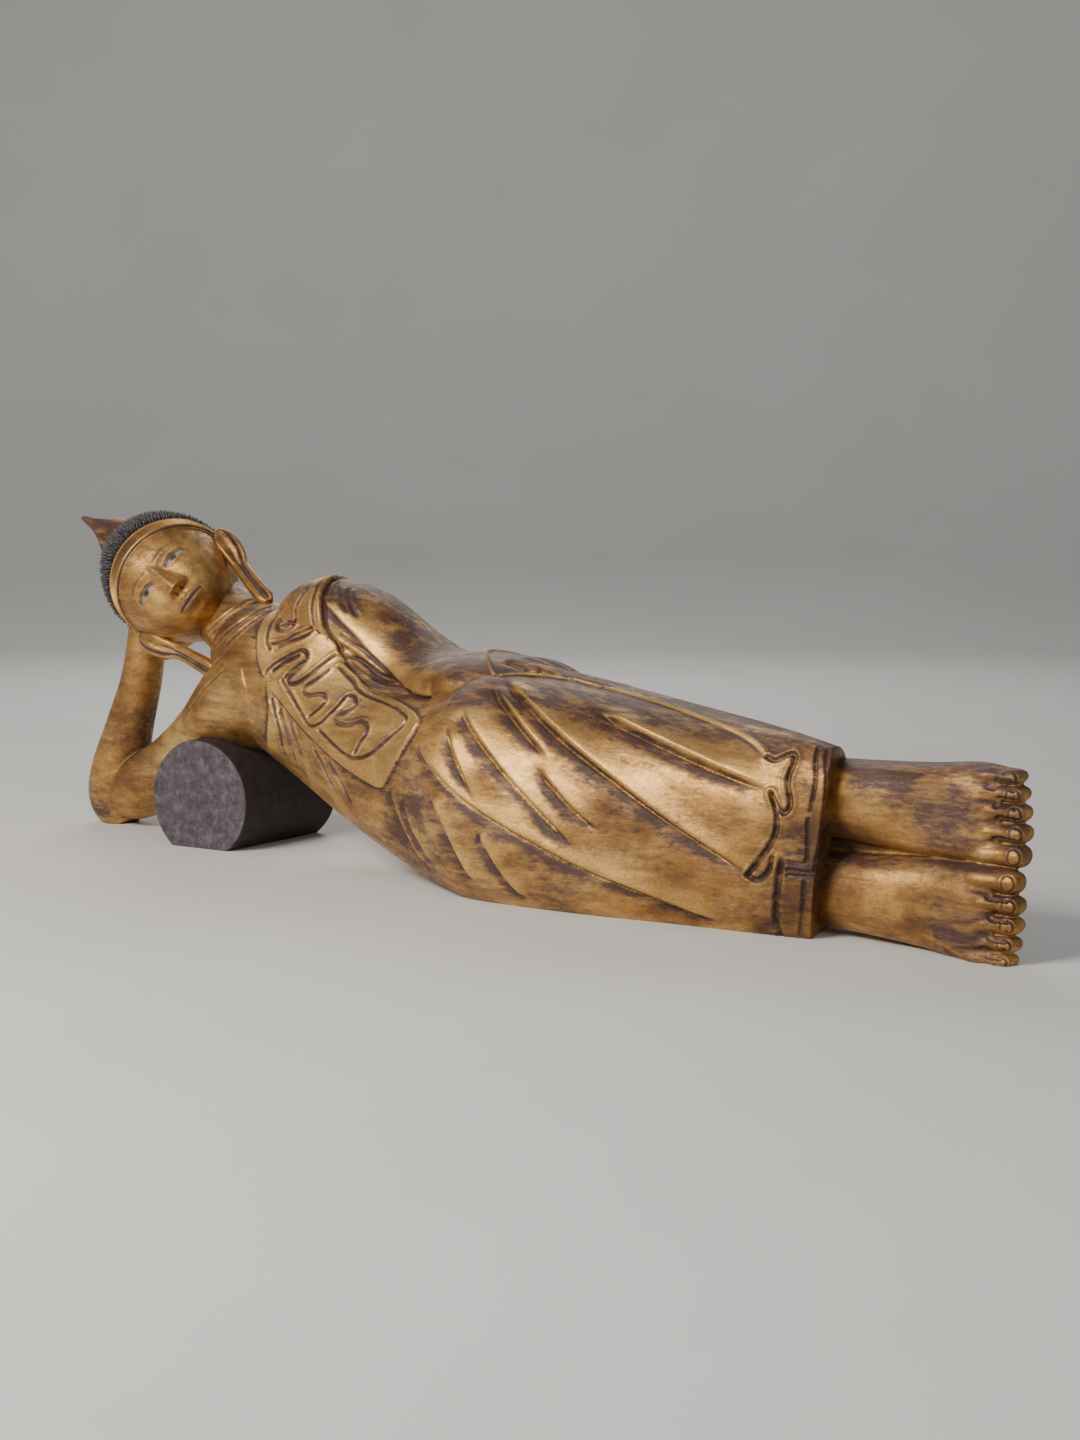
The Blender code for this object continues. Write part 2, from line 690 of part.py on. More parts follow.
def floor_block():
    """Everything below the ground that the figure lies on."""
    mesh = bmesh.new()
    bmesh.ops.create_cube(mesh, size=1.0)
    size = 2.0 * FIGURE_LENGTH
    mesh.transform(Matrix.Translation((0.0, 0.0, -size / 2.0)) @ Matrix.Scale(size, 4))
    mesh.transform(Matrix.Translation((-FIGURE_LENGTH / 2.0, 0.0, 0.0)))
    return new_object("floor", mesh)


def build_figure():
    """The whole carving as one closed solid."""
    figure = build_block()
    remesh = figure.modifiers.new("Remesh", "REMESH")
    remesh.mode = "VOXEL"
    remesh.voxel_size = VOXEL_UNITS * UNIT
    smooth = figure.modifiers.new("Smooth", "SMOOTH")
    smooth.factor = 0.5
    smooth.iterations = SMOOTH_PASSES
    bake_modifiers(figure)
    carve(figure)
    reduce_triangles(figure, BODY_TRIANGLES)
    combine(figure, floor_block(), "DIFFERENCE")
    combine(figure, build_head(), "UNION")
    combine(figure, build_hair(), "UNION")
    combine(figure, build_hairband(), "UNION")
    for item in build_ears_and_finial():
        combine(figure, item, "UNION")
    combine(figure, build_log(LOG_CLEARANCE), "DIFFERENCE")
    return figure


def new_material(name, colour, metallic, roughness):
    """A plain Principled material."""
    material = bpy.data.materials.new(name)
    material.use_nodes = True
    shader = material.node_tree.nodes["Principled BSDF"]
    shader.inputs["Base Color"].default_value = (*colour, 1.0)
    shader.inputs["Metallic"].default_value = metallic
    shader.inputs["Roughness"].default_value = roughness
    material.diffuse_color = (*colour, 1.0)
    return material


def move_to_origin(items):
    """Put the middle of the underside of all pieces together at the origin."""
    corners = np.array([tuple(vertex.co) for item in items for vertex in item.data.vertices])
    low = corners.min(axis=0)
    high = corners.max(axis=0)
    shift = Vector((-(low[0] + high[0]) / 2.0, -(low[1] + high[1]) / 2.0, -low[2]))
    for item in items:
        item.data.transform(Matrix.Translation(shift))


def main():
    clear_scene()
    figure = build_figure()
    log = build_log()
    bevel = log.modifiers.new("Worn edge", "BEVEL")
    bevel.width = LOG_EDGE_BEVEL
    bevel.segments = 1
    bevel.limit_method = "ANGLE"
    bevel.angle_limit = math.radians(40.0)
    bake_modifiers(log)
    figure.data.materials.clear()
    figure.data.materials.append(new_material("gilded_carving", GILT_COLOUR, GILT_METALLIC, GILT_ROUGHNESS))
    log.data.materials.append(new_material("dark_log", LOG_COLOUR, 0.0, LOG_ROUGHNESS))
    move_to_origin((figure, log))


main()
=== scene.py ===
"""Reclining buddha in gilded wood over a dark log: fine meshes, finishes and stage.

Built as an add-on: a panel in the 3D view's sidebar has one button for each
piece and one for the stage. Run as a script, it builds everything in order.
"""

import math

import bmesh
import bpy
import numpy as np
from bpy.props import FloatProperty, FloatVectorProperty, IntProperty, PointerProperty
from mathutils import Matrix, Vector
from mathutils.bvhtree import BVHTree


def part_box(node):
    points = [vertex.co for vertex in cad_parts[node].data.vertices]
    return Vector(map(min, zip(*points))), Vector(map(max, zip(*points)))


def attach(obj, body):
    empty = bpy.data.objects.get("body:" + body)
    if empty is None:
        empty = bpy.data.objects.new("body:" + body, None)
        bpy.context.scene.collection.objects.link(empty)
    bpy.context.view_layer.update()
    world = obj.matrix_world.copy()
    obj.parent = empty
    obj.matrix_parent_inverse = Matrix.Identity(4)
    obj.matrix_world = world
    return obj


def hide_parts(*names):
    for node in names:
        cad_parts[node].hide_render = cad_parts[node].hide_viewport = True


bl_info = {
    "name": "Reclining Buddha",
    "version": (1, 0, 0),
    "blender": (4, 5, 0),
    "location": "View3D > Sidebar > Carving",
    "description": "Builds a gilded reclining buddha over a log, its finishes and a plain stage",
    "category": "Object",
}

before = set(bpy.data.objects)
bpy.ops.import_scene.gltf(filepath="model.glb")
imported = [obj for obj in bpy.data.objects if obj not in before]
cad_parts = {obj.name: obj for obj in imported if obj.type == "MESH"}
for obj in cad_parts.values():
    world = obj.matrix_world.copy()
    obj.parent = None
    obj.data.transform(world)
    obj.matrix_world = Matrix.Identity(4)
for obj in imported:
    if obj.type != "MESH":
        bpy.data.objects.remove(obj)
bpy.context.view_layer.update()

# The figure's own coordinates are in units of 1 mm on a figure 1180 mm long,
# measured from its toes toward its head. The log's box in the frame fixes
# where they lie.
FIGURE_LENGTH = 1.18
FIGURE_UNITS = 1180.0
UNIT = FIGURE_LENGTH / FIGURE_UNITS
FIGURE_NODE = "reclining_buddha_figure"
LOG_NODE = "bolster"

# Log, in metres, and the place of its face in figure units.
LOG_DIAMETER = 0.125
LOG_LENGTH = 0.150
LOG_FLAT_CUT = 0.0125
LOG_CLEARANCE = 0.0003
LOG_FACE_X = -937.0
LOG_FACE_Y = -8.0
LOG_TURN = math.radians(7.0)
LOG_SEED = 5
LOG_SIDES = 220
LOG_RINGS = 60

# Trunk and robe, one row for each section from the hem to the neck: place
# along the body, middle depth, middle height, lean in degrees, half height
# up and down, depth to the front and to the back, roundness of the upper and
# lower half, turn in degrees.
TRUNK_SECTIONS = (
    (-188, 22, 80, 6, 82, 92, 30, 62, 2.2, 3.2, 18),
    (-255, 34, 83, 5, 89, 95, 62, 62, 2.3, 3.2, 12),
    (-330, 42, 86, 3, 96, 99, 86, 60, 2.3, 3.2, 6),
    (-430, 38, 93, 0, 104, 108, 106, 78, 2.4, 3.0, 0),
    (-530, 36, 100, 0, 109, 115, 116, 84, 2.4, 2.8, 0),
    (-575, 38, 104, 2, 95, 112, 108, 84, 2.3, 2.7, 0),
    (-620, 42, 108, 4, 80, 106, 98, 84, 2.2, 2.6, 0),
    (-700, 50, 118, 14, 72, 87, 90, 76, 2.2, 2.4, 0),
    (-775, 57, 143, 26, 84, 84, 76, 72, 2.2, 2.2, 0),
    (-838, 60, 178, 36, 96, 94, 67, 68, 2.2, 2.2, 0),
    (-892, 62, 200, 42, 64, 92, 60, 60, 2.3, 2.2, 0),
    (-935, 62, 222, 40, 40, 52, 44, 46, 2.0, 2.0, 0),
)

# Limbs, one row for each section: place along the body, depth, height, then
# the half width across the view from the front and the half depth.
LEFT_ARM = (
    (-866, 58, 224, 8, 10),
    (-850, 57, 233, 24, 28),
    (-818, 57, 245, 34, 45),
    (-765, 60, 238, 35, 49),
    (-700, 64, 204, 33, 44),
    (-650, 58, 188, 30, 49),
    (-600, 43, 189, 29, 59),
    (-562, 36, 191, 28, 60),
    (-515, 40, 190, 24, 48),
    (-470, 40, 176, 20, 38),
)
RIGHT_FOREARM = (
    (-1129, 60, -1, 13, 15),
    (-1138, 60, 13, 27, 28),
    (-1143, 60, 34, 33, 33),
    (-1136, 58, 64, 30, 32),
    (-1118, 56, 108, 25, 27),
    (-1098, 55, 155, 22, 23),
    (-1086, 54, 195, 20, 23),
    (-1078, 58, 236, 22, 26),
)
RIGHT_UPPER_ARM = (
    (-1142, 60, 24, 12, 14),
    (-1130, 60, 29, 25, 26),
    (-1100, 60, 43, 34, 36),
    (-1040, 60, 76, 34, 40),
    (-980, 60, 112, 42, 49),
    (-925, 58, 150, 56, 57),
    (-870, 57, 174, 62, 62),
)
SMALL_FINGER = (
    (-1076, 74, 232, 7, 7),
    (-1064, 66, 210, 6.5, 6.5),
    (-1060, 61, 193, 5.5, 5.5),
    (-1060, 59, 184, 3, 3),
)
LEFT_THUMB = (
    (-513, 13, 206, 2, 2),
    (-509, 12, 209, 5, 5),
    (-502, 12, 208, 5, 5),
    (-498, 12, 205, 2, 2),
)
NECK = (
    (-1004, 74, 246, 36, 36),
    (-965, 72, 228, 36, 41),
    (-925, 70, 210, 45, 46),
    (-895, 66, 202, 50, 44),
)
LEFT_FOOT = (
    (-225, 48, 116, 32, 28),
    (-160, 46, 115, 35, 32),
    (-95, 40, 116, 38, 28),
    (-60, 35, 117, 41, 24),
    (-40, 31, 117, 42, 18),
    (-24, 31, 117, 40, 11),
)
RIGHT_FOOT = (
    (-225, 48, 38, 32, 30),
    (-160, 44, 38, 34, 34),
    (-95, 38, 38, 38, 30),
    (-60, 28, 37, 40, 25),
    (-40, 22, 37, 42, 19),
    (-24, 22, 37, 40, 11),
)
FOOT_ROUNDNESS = 2.5

# Share of the foot's width and end of each toe, from the big toe on.
TOE_SHARES = (0.25, 0.21, 0.20, 0.18, 0.16)
TOE_TIPS = (-1, 0, -1, -3, -6)
ANKLE_WEB = (
    (-225, 62, 77, 32, 22),
    (-150, 58, 77, 28, 20),
    (-60, 44, 78, 18, 10),
)

# Head: middle, crown direction, facing direction and half sizes across,
# front to back and up.
HEAD_CENTRE = (-1034, 50, 270)
CROWN_DIRECTION = (-0.773, -0.297, 0.560)
FACING_DIRECTION = (0.480, -0.851, 0.212)
HEAD_HALF_SIZES = (64, 72, 78)

# The hairline lies in a plane through the head that leans back; its height
# above the middle of the head, and its rise for each unit toward the face.
HAIRLINE_HEIGHT = -10
HAIRLINE_RISE = 0.67
HAIRBAND_WIDTH = 18.0
HAIRBAND_RIM = 6.0
HAIRBAND_RIBS = 200
HAIRBAND_RIB_STEPS = 8

# Hair: a thin cap from the finial's foot to the hairband, and the pointed
# curls on it, each in rings of its height and of its spacing.
HAIR_THICKNESS = 0.7
HAIR_CAP_COLUMNS = 160
HAIR_CAP_ROWS = 40
HAIR_CROWN_ANGLE = 0.37
HAIR_CURL_SPACING = 4.1
HAIR_CURL_HEIGHT = 6.2
HAIR_CURL_RINGS = ((-0.12, 0.50), (0.28, 0.40), (0.62, 0.19))
HAIR_CURL_CORNERS = 7
HAIR_SEED = 11

# Plain face, from the middle of the head: eyes, mouth and nostrils beside
# the middle line and above it, and the sizes of each.
EYE_SIDE = 23.0
EYE_HALF_LENGTH = 13.0
EYE_HEIGHT = -10.0
IRIS_HEIGHT = -8.6
IRIS_RADIUS = 4.1
PUPIL_RADIUS = 1.7
NOSTRIL_SIDE = 4.4
MOUTH_HALF_WIDTH = 17.0
MOUTH_HEIGHT = -52.6

# Jaw: how square it is in profile, how far it stands forward and the share
# by which it is narrower than the cranium.
JAW_SQUARENESS = 2.9
JAW_FORWARD = 12.0
JAW_NARROWING = 0.13

# Grid of the head: columns, rows, and how much both crowd at the face.
HEAD_COLUMNS = 400
HEAD_ROWS = 240
COLUMN_CROWDING = 0.58
ROW_CROWDING = 0.5

# Finial: height above the middle of the head, and radius.
FINIAL_LEAN = -6.0
FINIAL_PROFILE = ((68, 30), (80, 25), (90, 19), (100, 12.5), (111, 7), (121, 4), (127, 2.2))

# Ear, from its top to the end of the lobe: across, forward and up from the
# middle of the head, then half width and half thickness.
EAR_FLARE = 0.6
EAR_SECTIONS = (
    (65, -3, -5, 4, 4),
    (67, 0, -11, 10, 6),
    (65.5, 5, -23, 13, 7),
    (62, 9, -38, 12, 6),
    (56, 14, -54, 9, 5),
    (52, 26, -71, 8.5, 5),
    (48.5, 38, -92, 9, 6),
    (46.5, 46, -107, 9, 6),
    (45.5, 50, -115, 5, 4)
)

# Lines drawn on the figure seen from the front, each point its place along
# the body and its height.
SKIRT_FOLDS = (
    ((-585, 143), (-541, 115), (-498, 89), (-406, 50), (-350, 31), (-265, 5)),
    ((-541, 162), (-522, 133), (-495, 95)),
    ((-535, 179), (-506, 155), (-450, 108), (-395, 62)),
    ((-518, 197), (-478, 174), (-425, 138)),
    ((-437, 132), (-396, 95), (-368, 77)),
    ((-511, 200), (-460, 178), (-378, 133), (-308, 91), (-237, 53)),
    ((-400, 179), (-304, 148), (-219, 123)),
)
HIP_FOLDS = (
    ((-550, 94), (-533, 70), (-510, 19)),
    ((-496, 70), (-471, 26), (-455, 8)),
    ((-598, 90), (-583, 60), (-552, 28)),
    ((-622, 96), (-604, 66), (-574, 26)),
)
PLEAT_ENDS = (
    ((-230, 152), (-222, 150), (-211, 156), (-206, 150), (-207, 134), (-202, 115), (-208, 108), (-219, 123)),
    ((-219, 123), (-213, 107), (-213, 90), (-221, 74), (-237, 53)),
    ((-237, 53), (-228, 49), (-219, 58), (-216, 69)),
)
HEM_LINES = (
    ((-192, 161), (-184, 136), (-185, 111)),
    ((-183, 160), (-175, 136), (-176, 110), (-177, 84), (-179, 60), (-204, 60)),
    ((-187, 103), (-187, 84), (-189, 67), (-204, 67)),
    ((-179, 55), (-204, 55)),
    ((-190, 51), (-192, 30), (-197, 6)),
)
HEM_CREASE = (-208, 67), (-212, 44), (-216, 18), (-216, 1)
FLAP_EDGE = (
    (-866, 256), (-863, 235), (-856, 217), (-848, 198), (-837, 184), (-828, 175), (-806, 160), (-772, 140),
    (-737, 125), (-690, 108), (-650, 97), (-636, 95), (-627, 99), (-605, 127), (-590, 151), (-588, 158),
    (-595, 162), (-620, 167), (-693, 178), (-726, 194), (-750, 209), (-758, 218), (-769, 231), (-775, 251),
    (-786, 270), (-798, 282),
)
FLAP_LINES = (
    ((-854, 249), (-848, 234), (-841, 218), (-834, 211)),
    ((-806, 271), (-810, 260), (-812, 247), (-812, 240), (-817, 231), (-829, 229), (-836, 232), (-842, 242)),
    ((-834, 232), (-826, 237), (-812, 237)),
    ((-835, 216), (-819, 219), (-805, 227), (-791, 232), (-786, 235)),
    ((-823, 214), (-807, 220), (-791, 226), (-785, 232)),
    ((-834, 184), (-833, 189), (-822, 198), (-806, 206), (-792, 212), (-784, 210), (-782, 203), (-790, 193),
     (-799, 185), (-798, 180), (-789, 180), (-775, 188), (-761, 200), (-753, 207)),
    ((-823, 190), (-810, 199), (-793, 207)),
    ((-804, 186), (-794, 195), (-785, 201)),
    ((-752, 194), (-762, 186), (-774, 178), (-775, 173), (-768, 170), (-755, 172), (-745, 172), (-741, 166),
     (-748, 158), (-759, 150)),
    ((-808, 182), (-794, 170), (-773, 153), (-756, 142), (-741, 145), (-726, 157), (-715, 170)),
    ((-730, 154), (-720, 163), (-715, 172), (-705, 172), (-697, 165), (-706, 159), (-718, 153), (-710, 148),
     (-693, 148), (-680, 152), (-669, 150), (-665, 143), (-671, 133), (-675, 123)),
    ((-738, 139), (-711, 128), (-687, 120), (-671, 119), (-652, 125), (-627, 143), (-611, 157), (-633, 164),
     (-692, 173), (-721, 186), (-742, 197)),
    ((-801, 281), (-792, 268), (-786, 249), (-782, 235), (-777, 229)),
)
SHOULDER_FOLD = (-797, 283), (-784, 270), (-773, 251), (-767, 232), (-756, 218), (-748, 209)
ROBE_EDGE = (-834, 178), (-829, 160), (-829, 148), (-836, 127), (-850, 105)
CHEST_GATHERS = (
    ((-824, 166), (-815, 143), (-811, 125), (-811, 104)),
    ((-811, 156), (-801, 134), (-792, 115), (-787, 94)),
    ((-794, 143), (-783, 126), (-773, 108)),
    ((-753, 124), (-733, 107), (-723, 94), (-713, 82)),
    ((-722, 111), (-703, 96), (-693, 84), (-686, 70)),
)
SLEEVE_FOLDS = (
    ((-755, 231), (-743, 223), (-726, 215), (-709, 204), (-690, 194)),
    ((-745, 204), (-726, 194), (-702, 184), (-678, 180), (-640, 181)),
    ((-745, 209), (-729, 204), (-708, 193), (-684, 185)),
)
SLEEVE_EDGE = ((-779, 262), (-759, 248), (-736, 231), (-706, 207), (-672, 188), (-635, 180), (-600, 180))
ARM_WRINKLES = (
    ((-788, 279), (-766, 266), (-742, 246)),
    ((-767, 273), (-752, 260), (-733, 243)),
)
BACK_FOLDS = (
    ((-820, 230), (-700, 130), (-560, 70), (-400, 40)),
    ((-760, 240), (-640, 150), (-480, 95), (-300, 60)),
    ((-640, 200), (-500, 150), (-330, 115), (-220, 100)),
)
UPPER_ARM_LINES = (
    ((-912, 199), (-930, 190), (-968, 160), (-1016, 118)),
    ((-905, 189), (-949, 158), (-1000, 116)),
)
NECK_CREASES = (
    ((-927, 255), (-933, 244), (-948, 229), (-966, 220)),
    ((-914, 253), (-926, 241), (-943, 226), (-962, 214)),
    ((-884, 250), (-897, 236), (-916, 221), (-938, 207)),
    ((-871, 247), (-880, 237), (-897, 221), (-917, 205)),
)

# Places, seen from the front, where dark lacquer shows through the gold:
# along the body, height, half width, half height and strength.
PATINA_SPOTS = (
    (-600, 70, 60, 50, 0.9),
    (-650, 120, 50, 30, 0.4),
    (-470, 190, 70, 14, 0.8),
    (-330, 178, 80, 12, 0.5),
    (-770, 262, 30, 25, 0.5),
    (-1150, 20, 34, 30, 0.9),
    (-78, 108, 34, 26, 0.6),
    (-120, 146, 70, 14, 0.6),
    (-60, 20, 40, 22, 0.5),
    (-545, 206, 34, 14, 0.7),
    (-520, 206, 14, 9, 0.8),
    (-1120, 110, 40, 70, 0.35),
    (-90, 128, 50, 18, 0.5),
    (-45, 40, 26, 40, 0.6),
    (-197, 84, 9, 18, 0.9),
    (-300, 95, 60, 16, 0.45),
    (-400, 110, 30, 20, 0.3),
)

# Lines in full: place along the body, depth and height.
SLEEVE_CUFF = (
    (-570, 84, 218), (-580, 62, 218), (-578, 38, 214), (-564, 18, 211), (-549, 5, 207), (-530, -10, 202),
)
THUMB_HOLLOW = ((-540, 15, 208), (-528, 14, 209), (-518, 13, 209), (-511, 13, 208))
FINGER_DEPTH = 24.0
FINGER_SPACING = 13.0
FINGER_LINES = tuple(
    tuple((x, FINGER_DEPTH + (index - 0.5) * FINGER_SPACING, z)
          for x, z in ((-535, 212), (-500, 211), (-462, 199), (-424, 184)))
    for index in range(4)
)
ROBE_TOP_EDGE = ((-527, -12, 202), (-503, 4, 206), (-470, 16, 205), (-442, 20, 199), (-367, 20, 187),
                 (-304, 14, 172), (-251, 4, 160), (-230, -5, 152))

# Mesh fineness.
BODY_VOXEL = 1.2
FEET_VOXEL = 1.2
BODY_TRIANGLES = 190000
FEET_TRIANGLES = 90000

# Colours: worn gold, the lacquer under it, painted eyes and lips, hair, log
# and floor. Pale gold also gives painted highlights, dark lacquer also painted
# shade in the carving, and the hair's light greys painted highlights on its
# points. Where two or three stand together they run from dark to light.
GOLD_PALE = (0.90, 0.56, 0.195)
GOLD_WARM = (0.54, 0.285, 0.080)
GOLD_BROWN = (0.165, 0.070, 0.028)
LACQUER_DARK_AND_SHADE = (0.028, 0.011, 0.009)
LACQUER_PLUM = (0.078, 0.038, 0.046)
LIP_COLOUR = (0.13, 0.055, 0.045)
EYE_WHITES = ((0.20, 0.18, 0.14), (0.30, 0.27, 0.22))
IRIS_COLOUR = (0.070, 0.045, 0.030)
PUPIL_COLOUR = (0.012, 0.010, 0.010)
HAIR_BLACKS = ((0.010, 0.008, 0.009), (0.050, 0.042, 0.048))
HAIR_TIP_HIGHLIGHTS = ((0.06, 0.052, 0.055), (0.24, 0.21, 0.20))
LOG_END_PLUMS = ((0.038, 0.028, 0.034), (0.090, 0.070, 0.084), (0.175, 0.142, 0.162))
LOG_SIDE_PLUMS = ((0.012, 0.009, 0.010), (0.050, 0.034, 0.032))
FLOOR_GREYS = ((0.70, 0.69, 0.67), (0.74, 0.73, 0.71))

# The gold's flecks run along the body and slope by this angle.
FLECK_TILT = math.radians(24.0)

# Floor, in metres: half its width, where it starts to curve up behind, the
# radius of the curve and the height of the wall.
FLOOR_REACH = 6.0
FLOOR_BACK = 2.6
FLOOR_CURVE = 1.2
WALL_HEIGHT = 6.0

# Soft lights: name, place, point aimed at, size, power and colour.
LIGHTS = (
    ("key_light", (-0.2, -2.0, 1.5), (0.0, 0.0, 0.1), (1.0, 0.8), 60.0, (1.0, 0.95, 0.88)),
    ("fill_light", (2.6, -1.8, 1.4), (0.0, 0.0, 0.15), (2.0, 1.6), 16.0, (0.94, 0.96, 1.0)),
    ("rim_light", (-1.6, 1.6, 1.6), (-0.2, 0.0, 0.2), (1.6, 0.8), 22.0, (1.0, 0.97, 0.93)),
)
ROOM_COLOUR = (0.82, 0.84, 0.86, 1.0)
ROOM_STRENGTH = 0.26

# Camera at the angle and with the lens of the reference view.
CAMERA_PLACE = (0.938, -1.696, 0.409)
CAMERA_YAW = math.radians(40.0)
CAMERA_PITCH = math.radians(6.3)
CAMERA_LENS = 61.25
CAMERA_SENSOR = 36.0


def frame_shift():
    """Where the figure's zero point lies in the frame."""
    low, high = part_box(LOG_NODE)
    middle = (Vector(low) + Vector(high)) / 2.0
    axis = Vector((-math.sin(LOG_TURN), math.cos(LOG_TURN), 0.0))
    drawn = Vector((LOG_FACE_X * UNIT, LOG_FACE_Y * UNIT, 0.0)) + axis * LOG_LENGTH / 2.0
    return Vector((middle.x - drawn.x, middle.y - drawn.y, 0.0))


SHIFT = frame_shift()


def smooth_step(low, high, value):
    """Rise smoothly from 0 at low to 1 at high."""
    share = np.clip((value - low) / (high - low), 0.0, 1.0)
    return share * share * (3.0 - 2.0 * share)


def bump(value, half_width):
    """A bell of height 1 at 0 that falls away over half_width."""
    return np.exp(-(value / half_width) ** 2)


def curve_through(rows, steps=6):
    """Rows of a smooth curve that passes through every given row."""
    knots = np.array(rows, dtype=float)
    last = len(knots) - 1
    result = []
    for index in range(last):
        before = knots[max(index - 1, 0)]
        start = knots[index]
        end = knots[index + 1]
        after = knots[min(index + 2, last)]
        for step in range(steps):
            t = step / steps
            result.append(0.5 * (2 * start + (end - before) * t
                                 + (2 * before - 5 * start + 4 * end - after) * t ** 2
                                 + (3 * start - before - 3 * end + after) * t ** 3))
    result.append(knots[last])
    return np.array(result)


def rounded(value, roundness):
    """Cosine or sine bent from a circle (2) toward a square (above 2)."""
    return np.sign(value) * np.abs(value) ** (2.0 / roundness)


def trunk_rings(rows, sides=96):
    """Rings of the trunk, leaning and turned as its rows say."""
    angles = np.linspace(0.0, 2.0 * math.pi, sides, endpoint=False)
    cosine = np.cos(angles)
    sine = np.sin(angles)
    rings = []
    for x, y, z, lean, up, down, front, back, round_up, round_down, turn in curve_through(rows, 14):
        lean = math.radians(lean)
        turn = math.radians(turn)
        upward = np.array((math.sin(lean), 0.0, math.cos(lean)))
        deep = np.array((-math.sin(turn), math.cos(turn), 0.0))
        roundness = np.where(cosine > 0, round_up, round_down)
        height = np.where(cosine > 0, up, down) * rounded(cosine, roundness)
        depth = np.where(sine > 0, back, front) * rounded(sine, roundness)
        rings.append(np.array((x, y, z)) + height[:, None] * upward + depth[:, None] * deep)
    return rings


def limb_rings(rows, sides=64, roundness=2.0, side=(0.0, 1.0, 0.0), steps=14):
    """Rings of a limb around its own curved middle line."""
    path = curve_through(rows, steps)
    centres = path[:, :3]
    tangents = np.gradient(centres, axis=0)
    tangents /= np.linalg.norm(tangents, axis=1)[:, None]
    angles = np.linspace(0.0, 2.0 * math.pi, sides, endpoint=False)
    rings = []
    for centre, tangent, row in zip(centres, tangents, path):
        width_axis = np.cross(side, tangent)
        width_axis /= np.linalg.norm(width_axis)
        depth_axis = np.cross(tangent, width_axis)
        rings.append(centre
                     + row[3] * rounded(np.cos(angles), roundness)[:, None] * width_axis
                     + row[4] * rounded(np.sin(angles), roundness)[:, None] * depth_axis)
    return rings


def add_loft(mesh, rings):
    """Add a closed skin over rings given in figure units."""
    loops = [[mesh.verts.new(Vector(point) * UNIT) for point in ring] for ring in rings]
    sides = len(loops[0])
    for lower, upper in zip(loops, loops[1:]):
        for index in range(sides):
            after = (index + 1) % sides
            mesh.faces.new((lower[index], lower[after], upper[after], upper[index]))
    for loop, ring in ((loops[0], rings[0]), (loops[-1], rings[-1])):
        middle = mesh.verts.new(Vector(np.mean(ring, axis=0)) * UNIT)
        for index in range(sides):
            mesh.faces.new((loop[index], loop[(index + 1) % sides], middle))


def new_object(name, mesh):
    """Turn a bmesh into an object with its faces pointing outward."""
    bmesh.ops.recalc_face_normals(mesh, faces=mesh.faces)
    data = bpy.data.meshes.new(name)
    mesh.to_mesh(data)
    mesh.free()
    result = bpy.data.objects.new(name, data)
    bpy.context.scene.collection.objects.link(result)
    return result


def bake_modifiers(item):
    """Put the result of an object's modifiers into its mesh."""
    bpy.context.view_layer.update()
    evaluated = item.evaluated_get(bpy.context.evaluated_depsgraph_get())
    data = bpy.data.meshes.new_from_object(evaluated)
    item.modifiers.clear()
    old = item.data
    item.data = data
    bpy.data.meshes.remove(old)


def remove_object(item):
    """Delete an object and its mesh."""
    data = item.data
    bpy.data.objects.remove(item, do_unlink=True)
    bpy.data.meshes.remove(data)


def cut_away(base, cutter):
    """Cut the second object out of base, and remove it."""
    modifier = base.modifiers.new("Cut", "BOOLEAN")
    modifier.operation = "DIFFERENCE"
    modifier.solver = "EXACT"
    modifier.object = cutter
    bake_modifiers(base)
    remove_object(cutter)


def reduce_triangles(item, triangles):
    """Keep about the given number of triangles where the shape bends most."""
    item.data.calc_loop_triangles()
    count = len(item.data.loop_triangles)
    if count > triangles:
        modifier = item.modifiers.new("Decimate", "DECIMATE")
        modifier.ratio = triangles / count
        modifier.use_collapse_triangulate = True
        bake_modifiers(item)


def read_points(data):
    """Vertex places and normals of a mesh as arrays."""
    count = len(data.vertices)
    coordinates = np.empty(count * 3)
    data.vertices.foreach_get("co", coordinates)
    normals = np.empty(count * 3)
    data.vertex_normals.foreach_get("vector", normals)
    return coordinates.reshape(-1, 3), normals.reshape(-1, 3)


def write_points(data, coordinates):
    """Put an array of places into a mesh."""
    data.vertices.foreach_set("co", coordinates.ravel())
    data.update()


def write_mask(data, name, values):
    """Store a value for each vertex, for the finish to read."""
    attribute = data.attributes.new(name, "FLOAT", "POINT")
    attribute.data.foreach_set("value", np.asarray(values, dtype=np.float32))


def shade_smooth(item):
    """Smooth shading over every face."""
    item.data.polygons.foreach_set("use_smooth", [True] * len(item.data.polygons))


def voxel_block(item, voxel, passes):
    """Melt overlapping skins into one surface and soften it."""
    remesh = item.modifiers.new("Remesh", "REMESH")
    remesh.mode = "VOXEL"
    remesh.voxel_size = voxel * UNIT
    smooth = item.modifiers.new("Smooth", "SMOOTH")
    smooth.factor = 0.5
    smooth.iterations = passes
    bake_modifiers(item)


class Surface:
    """A surface that lines are drawn on."""

    def __init__(self, data):
        corners = [tuple(face.vertices) for face in data.polygons]
        self.tree = BVHTree.FromPolygons(read_points(data)[0].tolist(), corners)

    def draw(self, line, view):
        """Points where a line, drawn on one view of the figure, meets it."""
        found = []
        for point in curve_through(line, steps=20):
            if view == "near":
                place = self.tree.find_nearest(Vector(point) * UNIT)[0]
            else:
                direction = Vector((0.0, 1.0 if view == "front" else -1.0, 0.0))
                start = Vector((point[0] * UNIT, 0.0, point[1] * UNIT)) - direction * FIGURE_LENGTH
                place = self.tree.ray_cast(start, direction)[0]
            if place is not None:
                found.append(tuple(place))
        return np.array(found)


